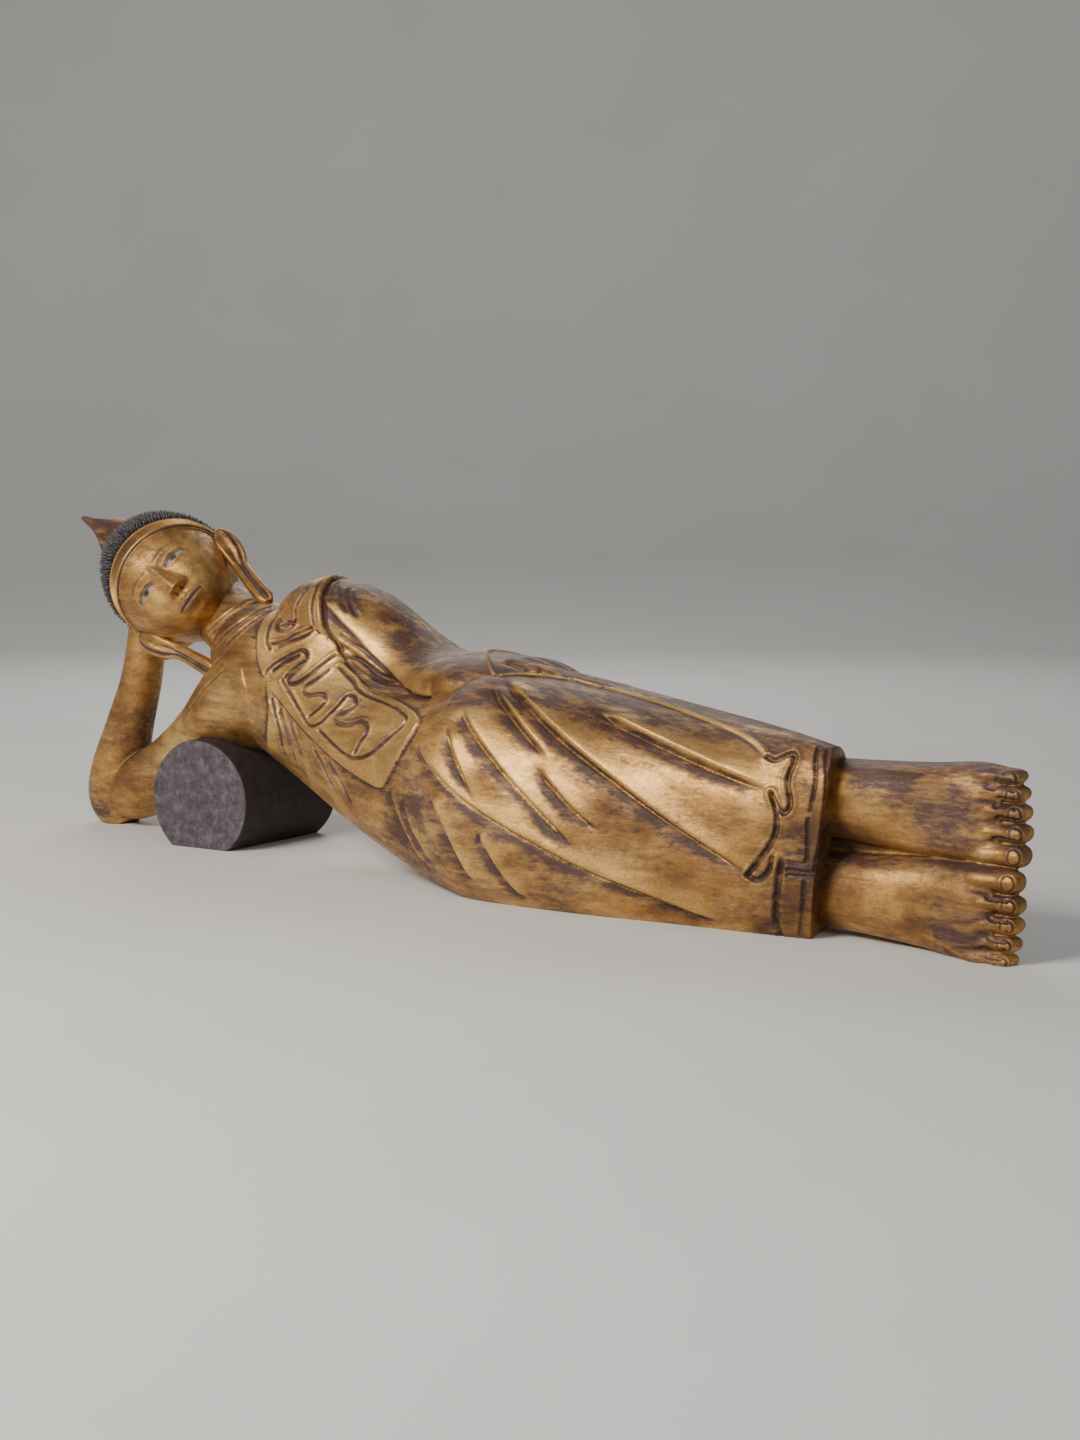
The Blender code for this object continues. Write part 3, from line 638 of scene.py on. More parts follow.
def line_distances(coordinates, normals, line, reach):
    """Vertices within reach of a line, with their place beside and along it.

    Beside is positive on the left of the line, seen from outside the
    surface. Along runs from 0 at the start; the line's length comes last.
    """
    starts = line[:-1]
    spans = np.diff(line, axis=0)
    lengths = np.linalg.norm(spans, axis=1)
    ends = np.cumsum(lengths)
    low = line.min(axis=0) - reach
    high = line.max(axis=0) + reach
    near = np.flatnonzero(np.all((coordinates > low) & (coordinates < high), axis=1))
    coarse = line[::4]
    margin = (reach + 4.0 * lengths.max()) ** 2
    kept = []
    beside = []
    along = []
    for first in range(0, len(near), 8000):
        part = near[first:first + 8000]
        rough = ((coordinates[part][:, None, :] - coarse[None]) ** 2).sum(axis=2).min(axis=1)
        part = part[rough < margin]
        if not len(part):
            continue
        gaps = coordinates[part][:, None, :] - starts[None]
        share = np.clip((gaps * spans).sum(axis=2) / lengths ** 2, 0.0, 1.0)
        gaps = gaps - share[:, :, None] * spans
        squares = (gaps ** 2).sum(axis=2)
        nearest = squares.argmin(axis=1)
        chosen = np.arange(len(part))
        side = (np.cross(spans[nearest], gaps[chosen, nearest]) * normals[part]).sum(axis=1)
        distance = np.sqrt(squares[chosen, nearest])
        inside = distance < reach
        kept.append(part[inside])
        beside.append((distance * np.where(side > 0, 1.0, -1.0))[inside])
        along.append((ends[nearest] - (1.0 - share[chosen, nearest]) * lengths[nearest])[inside])
    if not kept:
        return np.empty(0, dtype=int), np.empty(0), np.empty(0), 1.0
    return np.concatenate(kept), np.concatenate(beside) / UNIT, np.concatenate(along) / UNIT, ends[-1] / UNIT


class Carver:
    """Collects how far each vertex of a surface is raised or cut, where dark lacquer and painted shade go,
    and where painted highlights go.
    """

    def __init__(self, data, surface):
        self.coordinates, self.normals = read_points(data)
        self.surface = surface
        self.rise = np.zeros(len(self.coordinates))
        self.lacquer_and_shade = np.zeros(len(self.coordinates))
        self.bright = np.zeros(len(self.coordinates))

    def drawn(self, lines, view, reach, taper):
        """For each line: the vertices near it, their gaps and its fading ends."""
        for line in lines:
            points = self.surface.draw(line, view)
            if len(points) > 4:
                near, gap, along, length = line_distances(self.coordinates, self.normals, points,
                                                          reach * UNIT)
                fade = np.ones(len(near))
                if taper:
                    fade = smooth_step(0.0, taper[0], along) * smooth_step(0.0, taper[1], length - along)
                yield near, gap, fade

    def stain_and_shade(self, near, amount):
        """Let dark lacquer and painted shade show at least this much."""
        self.lacquer_and_shade[near] = np.maximum(self.lacquer_and_shade[near], amount)

    def groove(self, lines, view, depth, width, lip=0.0, taper=None, stain_and_shade=1.0):
        """Cut a groove with a rounded lip on each side, with dark lacquer and painted shade in it and softer
        painted shade beside it.
        """
        for near, gap, fade in self.drawn(lines, view, 5.0 * width + 1.0, taper):
            self.rise[near] -= depth * fade * bump(gap, width)
            self.rise[near] += lip * fade * bump(np.abs(gap) - 2.3 * width, 1.2 * width)
            self.stain_and_shade(near, stain_and_shade * fade * np.maximum(bump(gap, 1.3 * width), 0.35 * bump(gap, 3.0 * width)))

    def ridge(self, lines, view, height, width, taper=None):
        """Raise a thin rounded ridge, with a painted highlight on it and painted shade at its feet."""
        for near, gap, fade in self.drawn(lines, view, 5.0 * width, taper):
            self.rise[near] += height * fade * bump(gap, width)
            self.bright[near] = np.maximum(self.bright[near], fade * bump(gap, 1.2 * width))
            self.stain_and_shade(near, 0.4 * fade * bump(np.abs(gap) - 2.6 * width, 0.9 * width))

    def drape(self, lines, view, depth, reach, taper):
        """A crease with a full rounded fold on its left and a hollow on its right, with dark lacquer and
        painted shade in the crease and painted shade in the hollow.
        """
        for near, gap, fade in self.drawn(lines, view, 2.4 * reach, taper):
            swell = smooth_step(-0.5, 0.42 * reach, gap) * bump(gap, reach)
            hollow = bump(np.minimum(gap, 0.0), 0.62 * reach) * bump(np.maximum(gap, 0.0), 2.6)
            self.rise[near] += fade * depth * (swell - 0.62 * hollow - 0.62 * bump(gap, 1.7))
            self.stain_and_shade(near, fade * np.maximum(bump(gap + 0.4, 2.6), 0.60 * bump(np.minimum(gap, 0.0), 8.0)
                                               * bump(np.maximum(gap, 0.0), 3.0)))

    def edge(self, lines, view, height, width, reach, taper=None):
        """Raise the left side of a line, and let it fade further off, with painted shade at the foot of the
        step.
        """
        for near, gap, fade in self.drawn(lines, view, 2.2 * reach, taper):
            self.rise[near] += (height * fade * smooth_step(-width, width, gap)
                                * bump(np.maximum(gap, 0.0), reach))
            self.stain_and_shade(near, fade * bump(gap + 1.2 * width, 1.7 * width))


def carve_body(carver):
    """All the carving of the robe, the chest and the arms."""
    carver.drape(SKIRT_FOLDS, "front", depth=4.4, reach=16.0, taper=(26.0, 34.0))
    carver.drape(HIP_FOLDS, "front", depth=3.2, reach=10.0, taper=(10.0, 16.0))
    carver.groove(PLEAT_ENDS, "front", depth=3.0, width=1.7, lip=1.0)
    carver.groove(HEM_LINES, "front", depth=2.2, width=1.2, lip=0.5)
    carver.groove((HEM_CREASE,), "front", depth=3.6, width=2.0, lip=0.8)
    carver.edge((FLAP_EDGE,), "front", height=3.6, width=0.9, reach=22.0)
    carver.groove(FLAP_LINES, "front", depth=2.6, width=1.45, lip=0.7)
    carver.edge((ROBE_EDGE,), "front", height=2.4, width=0.9, reach=14.0, taper=(2.0, 6.0))
    carver.groove((SHOULDER_FOLD,), "front", depth=2.6, width=2.0, lip=1.0, taper=(6.0, 6.0))
    carver.groove(CHEST_GATHERS, "front", depth=2.2, width=1.8, lip=1.3, taper=(5.0, 14.0))
    carver.groove(SLEEVE_FOLDS, "front", depth=2.4, width=1.9, lip=1.3, taper=(8.0, 14.0))
    carver.edge((SLEEVE_EDGE,), "front", height=3.4, width=2.0, reach=12.0, taper=(14.0, 6.0))
    carver.groove(ARM_WRINKLES, "front", depth=1.4, width=2.2, lip=0.8, taper=(6.0, 12.0))
    carver.drape(BACK_FOLDS, "back", depth=3.0, reach=14.0, taper=(30.0, 40.0))
    carver.groove(UPPER_ARM_LINES, "front", depth=0.8, width=1.4, lip=0.6, taper=(12.0, 12.0), stain_and_shade=0.35)
    carver.groove(NECK_CREASES, "front", depth=1.1, width=1.7, lip=1.0, taper=(8.0, 12.0), stain_and_shade=0.4)
    carver.ridge((SLEEVE_CUFF,), "near", height=2.8, width=1.6)
    carver.groove((THUMB_HOLLOW,), "near", depth=4.5, width=5.5, taper=(7.0, 3.0))
    carver.groove(FINGER_LINES, "near", depth=1.4, width=1.2, lip=0.8, taper=(8.0, 10.0), stain_and_shade=0.9)
    carver.ridge((ROBE_TOP_EDGE,), "near", height=2.2, width=1.8, taper=(6.0, 10.0))


def apply_carving(item, carve):
    """Carve an object's surface, and return it for placing the dark lacquer, painted shade and painted
    highlights.
    """
    surface = Surface(item.data)
    carver = Carver(item.data, surface)
    carve(carver)
    write_points(item.data, carver.coordinates + carver.normals * (carver.rise * UNIT)[:, None])
    return surface


def mark_painted_light_and_wear(item, surface, carve):
    """Work out the dark lacquer and painted shade, the painted highlights and the relief's painted highlight
    and shade again on the finished mesh, and store them with the patina.
    """
    carver = Carver(item.data, surface)
    carve(carver)
    write_mask(item.data, "lacquer_and_shade", carver.lacquer_and_shade)
    write_mask(item.data, "bright", carver.bright)
    # Painted highlight on raised carving, painted shade in carving cut in.
    write_mask(item.data, "relief_highlight_and_shade", np.clip(carver.rise / 3.0, -1.0, 1.0))
    units = carver.coordinates / UNIT
    patina = np.zeros(len(units))
    for x, z, width, height, strength in PATINA_SPOTS:
        patina += strength * bump(units[:, 0] - x, width) * bump(units[:, 2] - z, height)
    write_mask(item.data, "patina", np.clip(patina, 0.0, 1.0))


def head_axes():
    """Directions across the head (to its right ear), forward and up."""
    up = np.array(CROWN_DIRECTION)
    up = up / np.linalg.norm(up)
    forward = np.array(FACING_DIRECTION)
    forward = forward - up * np.dot(forward, up)
    forward = forward / np.linalg.norm(forward)
    return np.array((np.cross(forward, up), forward, up))


def head_to_figure(points):
    """Figure coordinates of points given across, forward and up."""
    return np.array(HEAD_CENTRE) + np.asarray(points, dtype=float) @ head_axes()


def eye_lids(side):
    """Place along the eye, and the heights of its upper and lower lid lines."""
    span = (side - EYE_SIDE) / EYE_HALF_LENGTH
    bow = np.clip(1.0 - span ** 2, 0.0, 1.0)
    corners = EYE_HEIGHT + 0.6 * span
    return span, corners + 3.6 * bow, corners - 2.2 * bow


def lip_shape(side, up):
    """Fullness of the upper and the lower lip, and the line between them."""
    span = np.clip(1.0 - (side / MOUTH_HALF_WIDTH) ** 2, 0.0, 1.0) ** 0.6
    curl = MOUTH_HEIGHT + 0.9 * (side / MOUTH_HALF_WIDTH) ** 2
    bow = 0.8 * bump(side - 4.5, 3.0) - 0.7 * bump(side, 1.8)
    upper_lip = span * bump(up - curl - 2.9 * span - bow * span, 1.2 + 1.9 * span)
    lower_lip = span * bump(up - curl + 3.4 * span, 1.2 + 2.3 * span)
    parting = bump(up - curl, 1.1) * smooth_step(19.0, 15.0, side)
    return upper_lip, lower_lip, parting


def face_relief(across, up):
    """How far the features stand forward of the plain head, in figure units.

    Plain even features on common proportions: brows, nose and chin divide
    the face below the hair in thirds.
    """
    side = np.abs(across)
    span, upper, lower = eye_lids(side)
    on_eye = smooth_step(1.15, 0.92, np.abs(span))
    brow = 0.5 + 4.5 * bump(side - 21.0, 17.0)
    relief = 1.8 * bump(up - brow, 3.6) * smooth_step(3.0, 9.0, side) * smooth_step(44.0, 35.0, side)
    relief -= 3.6 * bump(side - 20.0, 15.0) * bump(up + 8.0, 8.0)
    relief += 4.8 * bump(side - EYE_SIDE, 11.5) * bump(up + 9.5, 6.2)
    relief += 0.9 * bump(up - upper - 0.9, 1.1) * on_eye
    relief -= 0.7 * bump(up - upper + 0.4, 0.8) * on_eye
    relief += 0.6 * bump(up - lower + 0.9, 1.1) * on_eye
    relief -= 0.6 * bump(up - upper - 3.4, 0.9) * on_eye
    drop = np.clip((3.0 - up) / 38.0, 0.0, 1.0)
    ridge = (3.0 + 11.5 * drop ** 1.15) * bump(side, 5.0 + 3.4 * drop)
    relief += ridge * smooth_step(-40.5, -35.0, up) * smooth_step(10.0, -2.0, up)
    relief += 5.4 * bump(side - 8.0, 4.2) * bump(up + 34.0, 4.8)
    relief -= 1.8 * bump(side - NOSTRIL_SIDE, 1.8) * bump(up + 38.8, 1.6)
    relief -= 0.7 * bump(side, 2.4) * bump(up + 43.5, 3.0)
    upper_lip, lower_lip, parting = lip_shape(side, up)
    relief += 1.6 * bump(side, 17.0) * bump(up + 51.0, 10.0)
    relief += 3.0 * upper_lip + 3.6 * lower_lip - 1.8 * parting
    relief -= 1.6 * bump(up + 61.0, 3.4) * bump(side, 12.0)
    relief += 2.8 * bump(up + 69.0, 7.0) * bump(side, 13.0)
    relief += 1.6 * bump(side - 32.0, 15.0) * bump(up + 32.0, 18.0)
    return relief


def head_form(directions):
    """Plain head along unit directions: a round cranium and a narrower jaw."""
    directions = np.asarray(directions, dtype=float)
    half_sizes = np.array(HEAD_HALF_SIZES, dtype=float)
    across, forward, up = (directions * half_sizes).T
    lower = smooth_step(5.0, -70.0, up)
    fore = smooth_step(-10.0, 50.0, forward)
    profile = np.hypot(directions[:, 1], directions[:, 2])
    profile = np.maximum(profile, 1e-6)
    fuller = ((np.abs(directions[:, 1]) / profile) ** JAW_SQUARENESS
              + (np.abs(directions[:, 2]) / profile) ** JAW_SQUARENESS) ** (-1.0 / JAW_SQUARENESS)
    swell = 1.0 + (fuller - 1.0) * lower * fore
    forward = forward * swell + JAW_FORWARD * lower * fore
    up = up * (1.0 + 0.5 * (swell - 1.0))
    across = across * (1.0 - JAW_NARROWING * lower)
    return np.stack((across, forward, up), axis=1)


def head_surface(directions):
    """Points of the head with its features, in its own axes."""
    across, forward, up = head_form(directions).T
    forward = forward + face_relief(across, up) * smooth_step(18.0, 42.0, forward)
    return np.stack((across, forward, up), axis=1)


def sphere_grid(columns, rows, crowding, row_crowding):
    """Unit directions in rings from crown to chin, closer at the face."""
    share = np.arange(columns) / columns * 2.0 * math.pi
    turns = share + crowding * np.sin(share + math.pi) + math.pi / 2.0
    steps = np.linspace(0.0, 1.0, 2000)
    pace = 1.0 - row_crowding * bump(steps - 0.66, 0.30)
    travel = np.concatenate(([0.0], np.cumsum((1.0 / pace)[1:])))
    polar = np.interp(np.linspace(0.0, travel[-1], rows + 1)[1:-1], travel, steps * math.pi)
    polar_grid, turn_grid = np.meshgrid(polar, turns, indexing="ij")
    directions = np.stack((np.sin(polar_grid) * np.cos(turn_grid),
                           np.sin(polar_grid) * np.sin(turn_grid),
                           np.cos(polar_grid)), axis=-1).reshape(-1, 3)
    directions = np.vstack((directions, ((0, 0, 1), (0, 0, -1))))
    count = len(polar)
    here = np.arange((count - 1) * columns).reshape(count - 1, columns)
    beside = np.roll(here, -1, axis=1)
    quads = np.stack((here, here + columns, beside + columns, beside), axis=-1).reshape(-1, 4)
    top = len(directions) - 2
    last = (count - 1) * columns
    caps = [(top, index, (index + 1) % columns) for index in range(columns)]
    caps += [(top + 1, last + (index + 1) % columns, last + index) for index in range(columns)]
    return directions, quads.tolist() + caps


def mesh_item(name, points, faces):
    """Object of points in figure units, with its faces turned outward."""
    data = bpy.data.meshes.new(name)
    data.from_pydata((np.asarray(points) * UNIT).tolist(), [], faces)
    mesh = bmesh.new()
    mesh.from_mesh(data)
    bmesh.ops.recalc_face_normals(mesh, faces=mesh.faces)
    mesh.to_mesh(data)
    mesh.free()
    item = bpy.data.objects.new(name, data)
    bpy.context.scene.collection.objects.link(item)
    return item


def build_head_mesh():
    """The head with its face, fine enough for lids and lips.

    The edges of eyes and lips are kept as distances, which the finish cuts
    to sharp lines.
    """
    directions, faces = sphere_grid(HEAD_COLUMNS, HEAD_ROWS, COLUMN_CROWDING, ROW_CROWDING)
    local = head_surface(directions)
    item = mesh_item("head", head_to_figure(local), faces)
    across, forward, up = local.T
    side = np.abs(across)
    front = smooth_step(30.0, 45.0, forward)
    span, upper, lower = eye_lids(side)
    inside = np.minimum(np.minimum(upper - up, up - lower), (1.0 - np.abs(span)) * 8.0)
    iris = IRIS_RADIUS - np.hypot(side - EYE_SIDE, up - IRIS_HEIGHT)
    pupil = PUPIL_RADIUS - np.hypot(side - EYE_SIDE, up - IRIS_HEIGHT)
    upper_lip, lower_lip, parting = lip_shape(side, up)
    # Dark lacquer and painted shade in the lid lines, the parting of the lips, the nostrils and along the
    # brows.
    creases = 0.8 * bump(up - upper - 3.4, 0.9) * smooth_step(1.1, 0.9, np.abs(span))
    lid_line = np.minimum(np.abs(upper - up), 3.0) + 6.0 * smooth_step(1.0, 1.15, np.abs(span))
    creases = np.maximum(creases, bump(lid_line, 0.9))
    creases = np.maximum(creases, 0.9 * parting)
    creases = np.maximum(creases, 0.7 * bump(side - NOSTRIL_SIDE, 1.8) * bump(up + 39.0, 1.4))
    brow = 2.2 + 4.5 * bump(side - 21.0, 17.0)
    creases = np.maximum(creases, 0.45 * bump(up - brow, 0.9) * smooth_step(38.0, 33.0, side)
                         * smooth_step(6.0, 10.0, side))
    for name, distance in (("eye", inside), ("iris", iris), ("pupil", pupil)):
        write_mask(item.data, name, np.clip(0.5 + 0.25 * distance, 0.0, 1.0) * front)
    write_mask(item.data, "lips", np.maximum(upper_lip, lower_lip) * front)
    write_mask(item.data, "lacquer_and_shade", creases * front)
    return item


def hairline_polar(turn, offset, half_sizes):
    """Angle from the crown at which the hairline crosses a direction."""
    polar = np.linspace(0.2, 2.6, 400)
    forward = half_sizes[1] * np.sin(polar) * math.sin(turn)
    above = half_sizes[2] * np.cos(polar) - (HAIRLINE_HEIGHT + offset + HAIRLINE_RISE * forward)
    return float(np.interp(0.0, -above, polar))


def direction_of(polar, turn):
    """Unit direction at an angle from the crown and a turn about it."""
    return np.array((math.sin(polar) * math.cos(turn), math.sin(polar) * math.sin(turn), math.cos(polar)))


def add_hair_cap(points, faces, low_polar, half_sizes):
    """The thin cap under the curls, from the crown to just under the hairband."""
    for row in range(HAIR_CAP_ROWS + 1):
        for index, lowest in enumerate(low_polar):
            polar = HAIR_CROWN_ANGLE + (lowest - HAIR_CROWN_ANGLE) * row / HAIR_CAP_ROWS
            turn = 2.0 * math.pi * index / HAIR_CAP_COLUMNS
            points.append(head_to_figure(direction_of(polar, turn) * half_sizes))
    for row in range(HAIR_CAP_ROWS):
        here = row * HAIR_CAP_COLUMNS
        below = here + HAIR_CAP_COLUMNS
        for index in range(HAIR_CAP_COLUMNS):
            beside = (index + 1) % HAIR_CAP_COLUMNS
            faces.append((here + index, below + index, below + beside, here + beside))


def add_curl(points, faces, tip_highlights, foot, normal, tip_axis, spacing, height, size):
    """One pointed curl: three rings that narrow to a tip."""
    first = np.cross(normal, (0.31, 0.52, 0.8))
    first = first / np.linalg.norm(first)
    second = np.cross(normal, first)
    base = len(points)
    for share, radius in HAIR_CURL_RINGS:
        level = share * height
        for corner in range(HAIR_CURL_CORNERS):
            angle = 2.0 * math.pi * corner / HAIR_CURL_CORNERS + 0.5 * level
            offset = (math.cos(angle) * first + math.sin(angle) * second) * radius * spacing * size
            middle = foot + normal * min(level, 0.6) + tip_axis * max(level - 0.6, 0.0) * size
            points.append(head_to_figure(middle + offset))
            tip_highlights.append(max(level, 0.0) / height)
    points.append(head_to_figure(foot + tip_axis * height * size))
    tip_highlights.append(1.0)
    rings = len(HAIR_CURL_RINGS)
    tip = base + rings * HAIR_CURL_CORNERS
    for level in range(rings):
        here = base + level * HAIR_CURL_CORNERS
        above = here + HAIR_CURL_CORNERS
        for corner in range(HAIR_CURL_CORNERS):
            after = (corner + 1) % HAIR_CURL_CORNERS
            if level < rings - 1:
                faces.append((here + corner, here + after, above + after, above + corner))
            else:
                faces.append((here + corner, here + after, tip))


def build_hair_mesh(spacing, height):
    """Cap of pointed curls in staggered rows round the finial."""
    generator = np.random.default_rng(HAIR_SEED)
    half_sizes = np.array(HEAD_HALF_SIZES) + HAIR_THICKNESS
    low_polar = [hairline_polar(2.0 * math.pi * index / HAIR_CAP_COLUMNS, HAIRBAND_WIDTH - 1.0, half_sizes)
                 for index in range(HAIR_CAP_COLUMNS)]
    points = []
    faces = []
    add_hair_cap(points, faces, low_polar, half_sizes)
    tip_highlights = [0.0] * len(points)
    mean_radius = sum(HEAD_HALF_SIZES[:2]) / 2.0
    for row in range(int(max(low_polar) * half_sizes[2] / spacing)):
        polar = HAIR_CROWN_ANGLE + (row + 0.3) * spacing / half_sizes[2]
        girth = 2.0 * math.pi * math.sin(polar) * mean_radius
        count = max(6, int(girth / spacing))
        for step in range(count):
            turn = 2.0 * math.pi * (step + 0.5 * (row % 2) + generator.uniform(-0.12, 0.12)) / count
            nudge = polar + generator.uniform(-0.1, 0.1) * spacing / half_sizes[2]
            limit = hairline_polar(turn, HAIRBAND_WIDTH - 1.0, half_sizes)
            if nudge > limit - 0.4 * spacing / half_sizes[2]:
                continue
            direction = direction_of(nudge, turn)
            normal = direction / half_sizes
            normal = normal / np.linalg.norm(normal)
            tip_axis = normal + (generator.normal(0.0, 0.13, 3) + np.array((0.0, 0.0, 0.16)))
            tip_axis = tip_axis / np.linalg.norm(tip_axis)
            size = generator.uniform(0.85, 1.12)
            add_curl(points, faces, tip_highlights, direction * half_sizes, normal, tip_axis, spacing, height, size)
    item = mesh_item("hair_curls", points, faces)
    # The curls' points get grey painted highlights in the finish.
    write_mask(item.data, "tip", tip_highlights)
    return item


def build_hairband_mesh():
    """Ribbed band between two beads along the hairline, and its inner rim."""
    half_sizes = np.array(HEAD_HALF_SIZES, dtype=float)
    steps = HAIRBAND_RIBS * HAIRBAND_RIB_STEPS
    offsets = np.linspace(-HAIRBAND_RIM, HAIRBAND_WIDTH, 27)
    table = np.linspace(0.2, 2.6, 240)
    points = []
    lacquer_and_shade = []
    bright = []
    for step in range(steps):
        turn = 2.0 * math.pi * step / steps
        rib = 0.5 + 0.5 * math.cos(2.0 * math.pi * step / HAIRBAND_RIB_STEPS)
        forward = half_sizes[1] * np.sin(table) * math.sin(turn)
        above = half_sizes[2] * np.cos(table) - (HAIRLINE_HEIGHT + HAIRLINE_RISE * forward)
        for offset in offsets:
            polar = float(np.interp(-offset, -above, table))
            bead = max(bump(offset - 0.6, 1.1), bump(offset - HAIRBAND_WIDTH + 1.2, 1.1))
            between = float(smooth_step(1.2, 2.4, offset)
                            * smooth_step(HAIRBAND_WIDTH - 1.8, HAIRBAND_WIDTH - 3.0, offset))
            rim = 1.3 * float(bump(offset + HAIRBAND_RIM - 1.6, 1.5))
            proud = 0.6 + 2.6 * bead + between * (0.9 + 1.8 * rib) + rim
            proud = proud * float(smooth_step(-HAIRBAND_RIM, -HAIRBAND_RIM + 1.0, offset)) - 0.4
            direction = direction_of(polar, turn)
            normal = direction / half_sizes
            normal = normal / np.linalg.norm(normal)
            points.append(head_to_figure(head_form(direction[None])[0] + normal * proud))
            # Dark lacquer and painted shade between the ribs and under the first bead; painted highlights on
            # the ribs and beads.
            lacquer_and_shade.append(1.3 * between * (1.0 - rib) + 0.9 * bump(offset + 0.9, 0.9))
            bright.append(0.6 * between * rib + 0.5 * bead)
    width = len(offsets)
    here = np.arange(steps * width).reshape(steps, width)
    after = np.roll(here, -1, axis=0)
    faces = np.stack((here[:, :-1], here[:, 1:], after[:, 1:], after[:, :-1]), axis=-1).reshape(-1, 4)
    item = mesh_item("hairband", points, faces.tolist())
    write_mask(item.data, "lacquer_and_shade", np.clip(lacquer_and_shade, 0.0, 1.0))
    write_mask(item.data, "bright", np.clip(bright, 0.0, 1.0))
    return item


def ear_relief(lateral, along):
    """Relief of an ear's front, and the share of dark lacquer and painted shade in its folds."""
    shell = smooth_step(0.02, 0.10, along) * smooth_step(0.50, 0.36, along)
    lobe = smooth_step(0.36, 0.46, along) * smooth_step(0.985, 0.93, along)
    fold = shell * bump(lateral - 0.48, 0.14)
    grooves = lobe * (bump(lateral - 0.32, 0.12) + bump(lateral + 0.32, 0.12))
    relief = 1.3 * bump(lateral - 0.80, 0.24) + 0.8 * bump(lateral + 0.84, 0.20)
    relief += (shell * (0.9 * bump(lateral - 0.18, 0.14) - 1.7 * bump(lateral + 0.25, 0.34))
               - 1.9 * fold - 1.3 * grooves)
    return relief, 0.9 * fold + 0.8 * grooves + 0.2 * shell * bump(lateral + 0.25, 0.3)


def build_ear_mesh(side, name):
    """A long ear with a rolled rim and a grooved lobe."""
    across_axis, forward = head_axes()[:2]
    rows = []
    for across, ahead, above, width, thickness in EAR_SECTIONS:
        rows.append((*head_to_figure((side * across, ahead, above)), width, thickness))
    flare = forward + side * across_axis * EAR_FLARE
    facing = flare / np.linalg.norm(flare)
    rings = limb_rings(rows, sides=96, roundness=2.4, side=flare, steps=24)
    carved = []
    lacquer_and_shade = []
    for index, ring in enumerate(rings):
        along = index / (len(rings) - 1)
        outward = ring - np.mean(ring, axis=0)
        depth = outward @ facing
        sideways = outward - np.outer(depth, facing)
        outer = sideways @ (side * across_axis - EAR_FLARE * forward)
        lateral = np.linalg.norm(sideways, axis=1) * np.sign(outer)
        lateral = lateral / np.abs(lateral).max()
        front = smooth_step(0.0, 1.2, depth)
        relief, dark = ear_relief(lateral, along)
        carved.append(ring + np.outer(relief * front, facing))
        lacquer_and_shade.extend(dark * front)
    lacquer_and_shade.extend((0.0, 0.0))
    mesh = bmesh.new()
    add_loft(mesh, carved)
    ear = new_object(name, mesh)
    write_mask(ear.data, "lacquer_and_shade", lacquer_and_shade)
    return ear


def build_finial_mesh():
    """The pointed finial on the crown."""
    forward = head_axes()[1]
    up = head_axes()[2]
    base = FINIAL_PROFILE[0][0]
    rows = []
    for height, radius in FINIAL_PROFILE:
        lean = FINIAL_LEAN * ((height - base) / (FINIAL_PROFILE[-1][0] - base)) ** 2
        rows.append((*head_to_figure((-lean, 0.0, height)), radius, radius))
    mesh = bmesh.new()
    add_loft(mesh, limb_rings(rows, sides=64, side=np.cross(forward, up), steps=12))
    finial = new_object("finial", mesh)
    write_mask(finial.data, "patina", np.full(len(finial.data.vertices), 1.0))
    return finial


def toe_edges(foot, big_toe_up):
    """Heights that part the five toes of a foot, from the big toe on."""
    end = foot[-1]
    edges = np.concatenate(((0.0,), np.cumsum(TOE_SHARES))) * 2.0 * end[3]
    return end[2] + end[3] - edges if big_toe_up else end[2] - end[3] + edges


def toe_rows(foot, big_toe_up):
    """Five toes of one foot, the big one at its upper or lower edge."""
    depth = foot[-1][1]
    edges = toe_edges(foot, big_toe_up)
    toes = []
    for index in range(5):
        height = (edges[index] + edges[index + 1]) / 2.0
        width = abs(edges[index + 1] - edges[index])
        tip = TOE_TIPS[index]
        toes.append((
            (-62, depth + 8, height, width * 0.50, 14),
            (-38, depth + 1, height, width * 0.56, 18),
            (tip - 20, depth - 1, height, width * 0.50, 14),
            (tip - 9, depth - 3, height, width * 0.48, 13.5),
            (tip - 3, depth - 3, height, width * 0.41, 11),
            (tip, depth - 3, height, width * 0.22, 6),
        ))
    return toes


def right_hand_rows():
    """Fingers of the right hand, curled round the back of the head."""
    fingers = []
    reach = np.array(HEAD_HALF_SIZES) + 3.5
    for index in range(4):
        rise = -0.40 + 0.17 * index
        rows = []
        for angle in np.radians((20.0, 40.0, 60.0, 80.0)):
            level = math.sqrt(1.0 - rise * rise)
            direction = np.array((math.cos(angle) * level, -math.sin(angle) * level, rise))
            rows.append((*head_to_figure(direction * reach), 8.0, 8.0))
        fingers.append(rows)
    fingers.append(SMALL_FINGER)
    return fingers


def left_hand_rows():
    """Four fingers laid flat on the hip, and the tip of the thumb."""
    fingers = []
    for index in range(4):
        depth = FINGER_DEPTH + FINGER_SPACING * index
        drop = 2.5 * index
        fingers.append((
            (-540, depth, 204 - drop, 8, 8),
            (-500, depth, 204 - drop, 8, 8),
            (-462, depth, 193 - drop, 7, 8),
            (-428 - 5 * abs(index - 1), depth, 178 - drop, 6, 7),
        ))
    fingers.append(LEFT_THUMB)
    return fingers


def floor_block():
    """Everything below the ground that the figure lies on."""
    mesh = bmesh.new()
    bmesh.ops.create_cube(mesh, size=2.0 * FIGURE_LENGTH)
    mesh.transform(Matrix.Translation((-FIGURE_LENGTH / 2.0, 0.0, -FIGURE_LENGTH)))
    return new_object("floor_cutter", mesh)


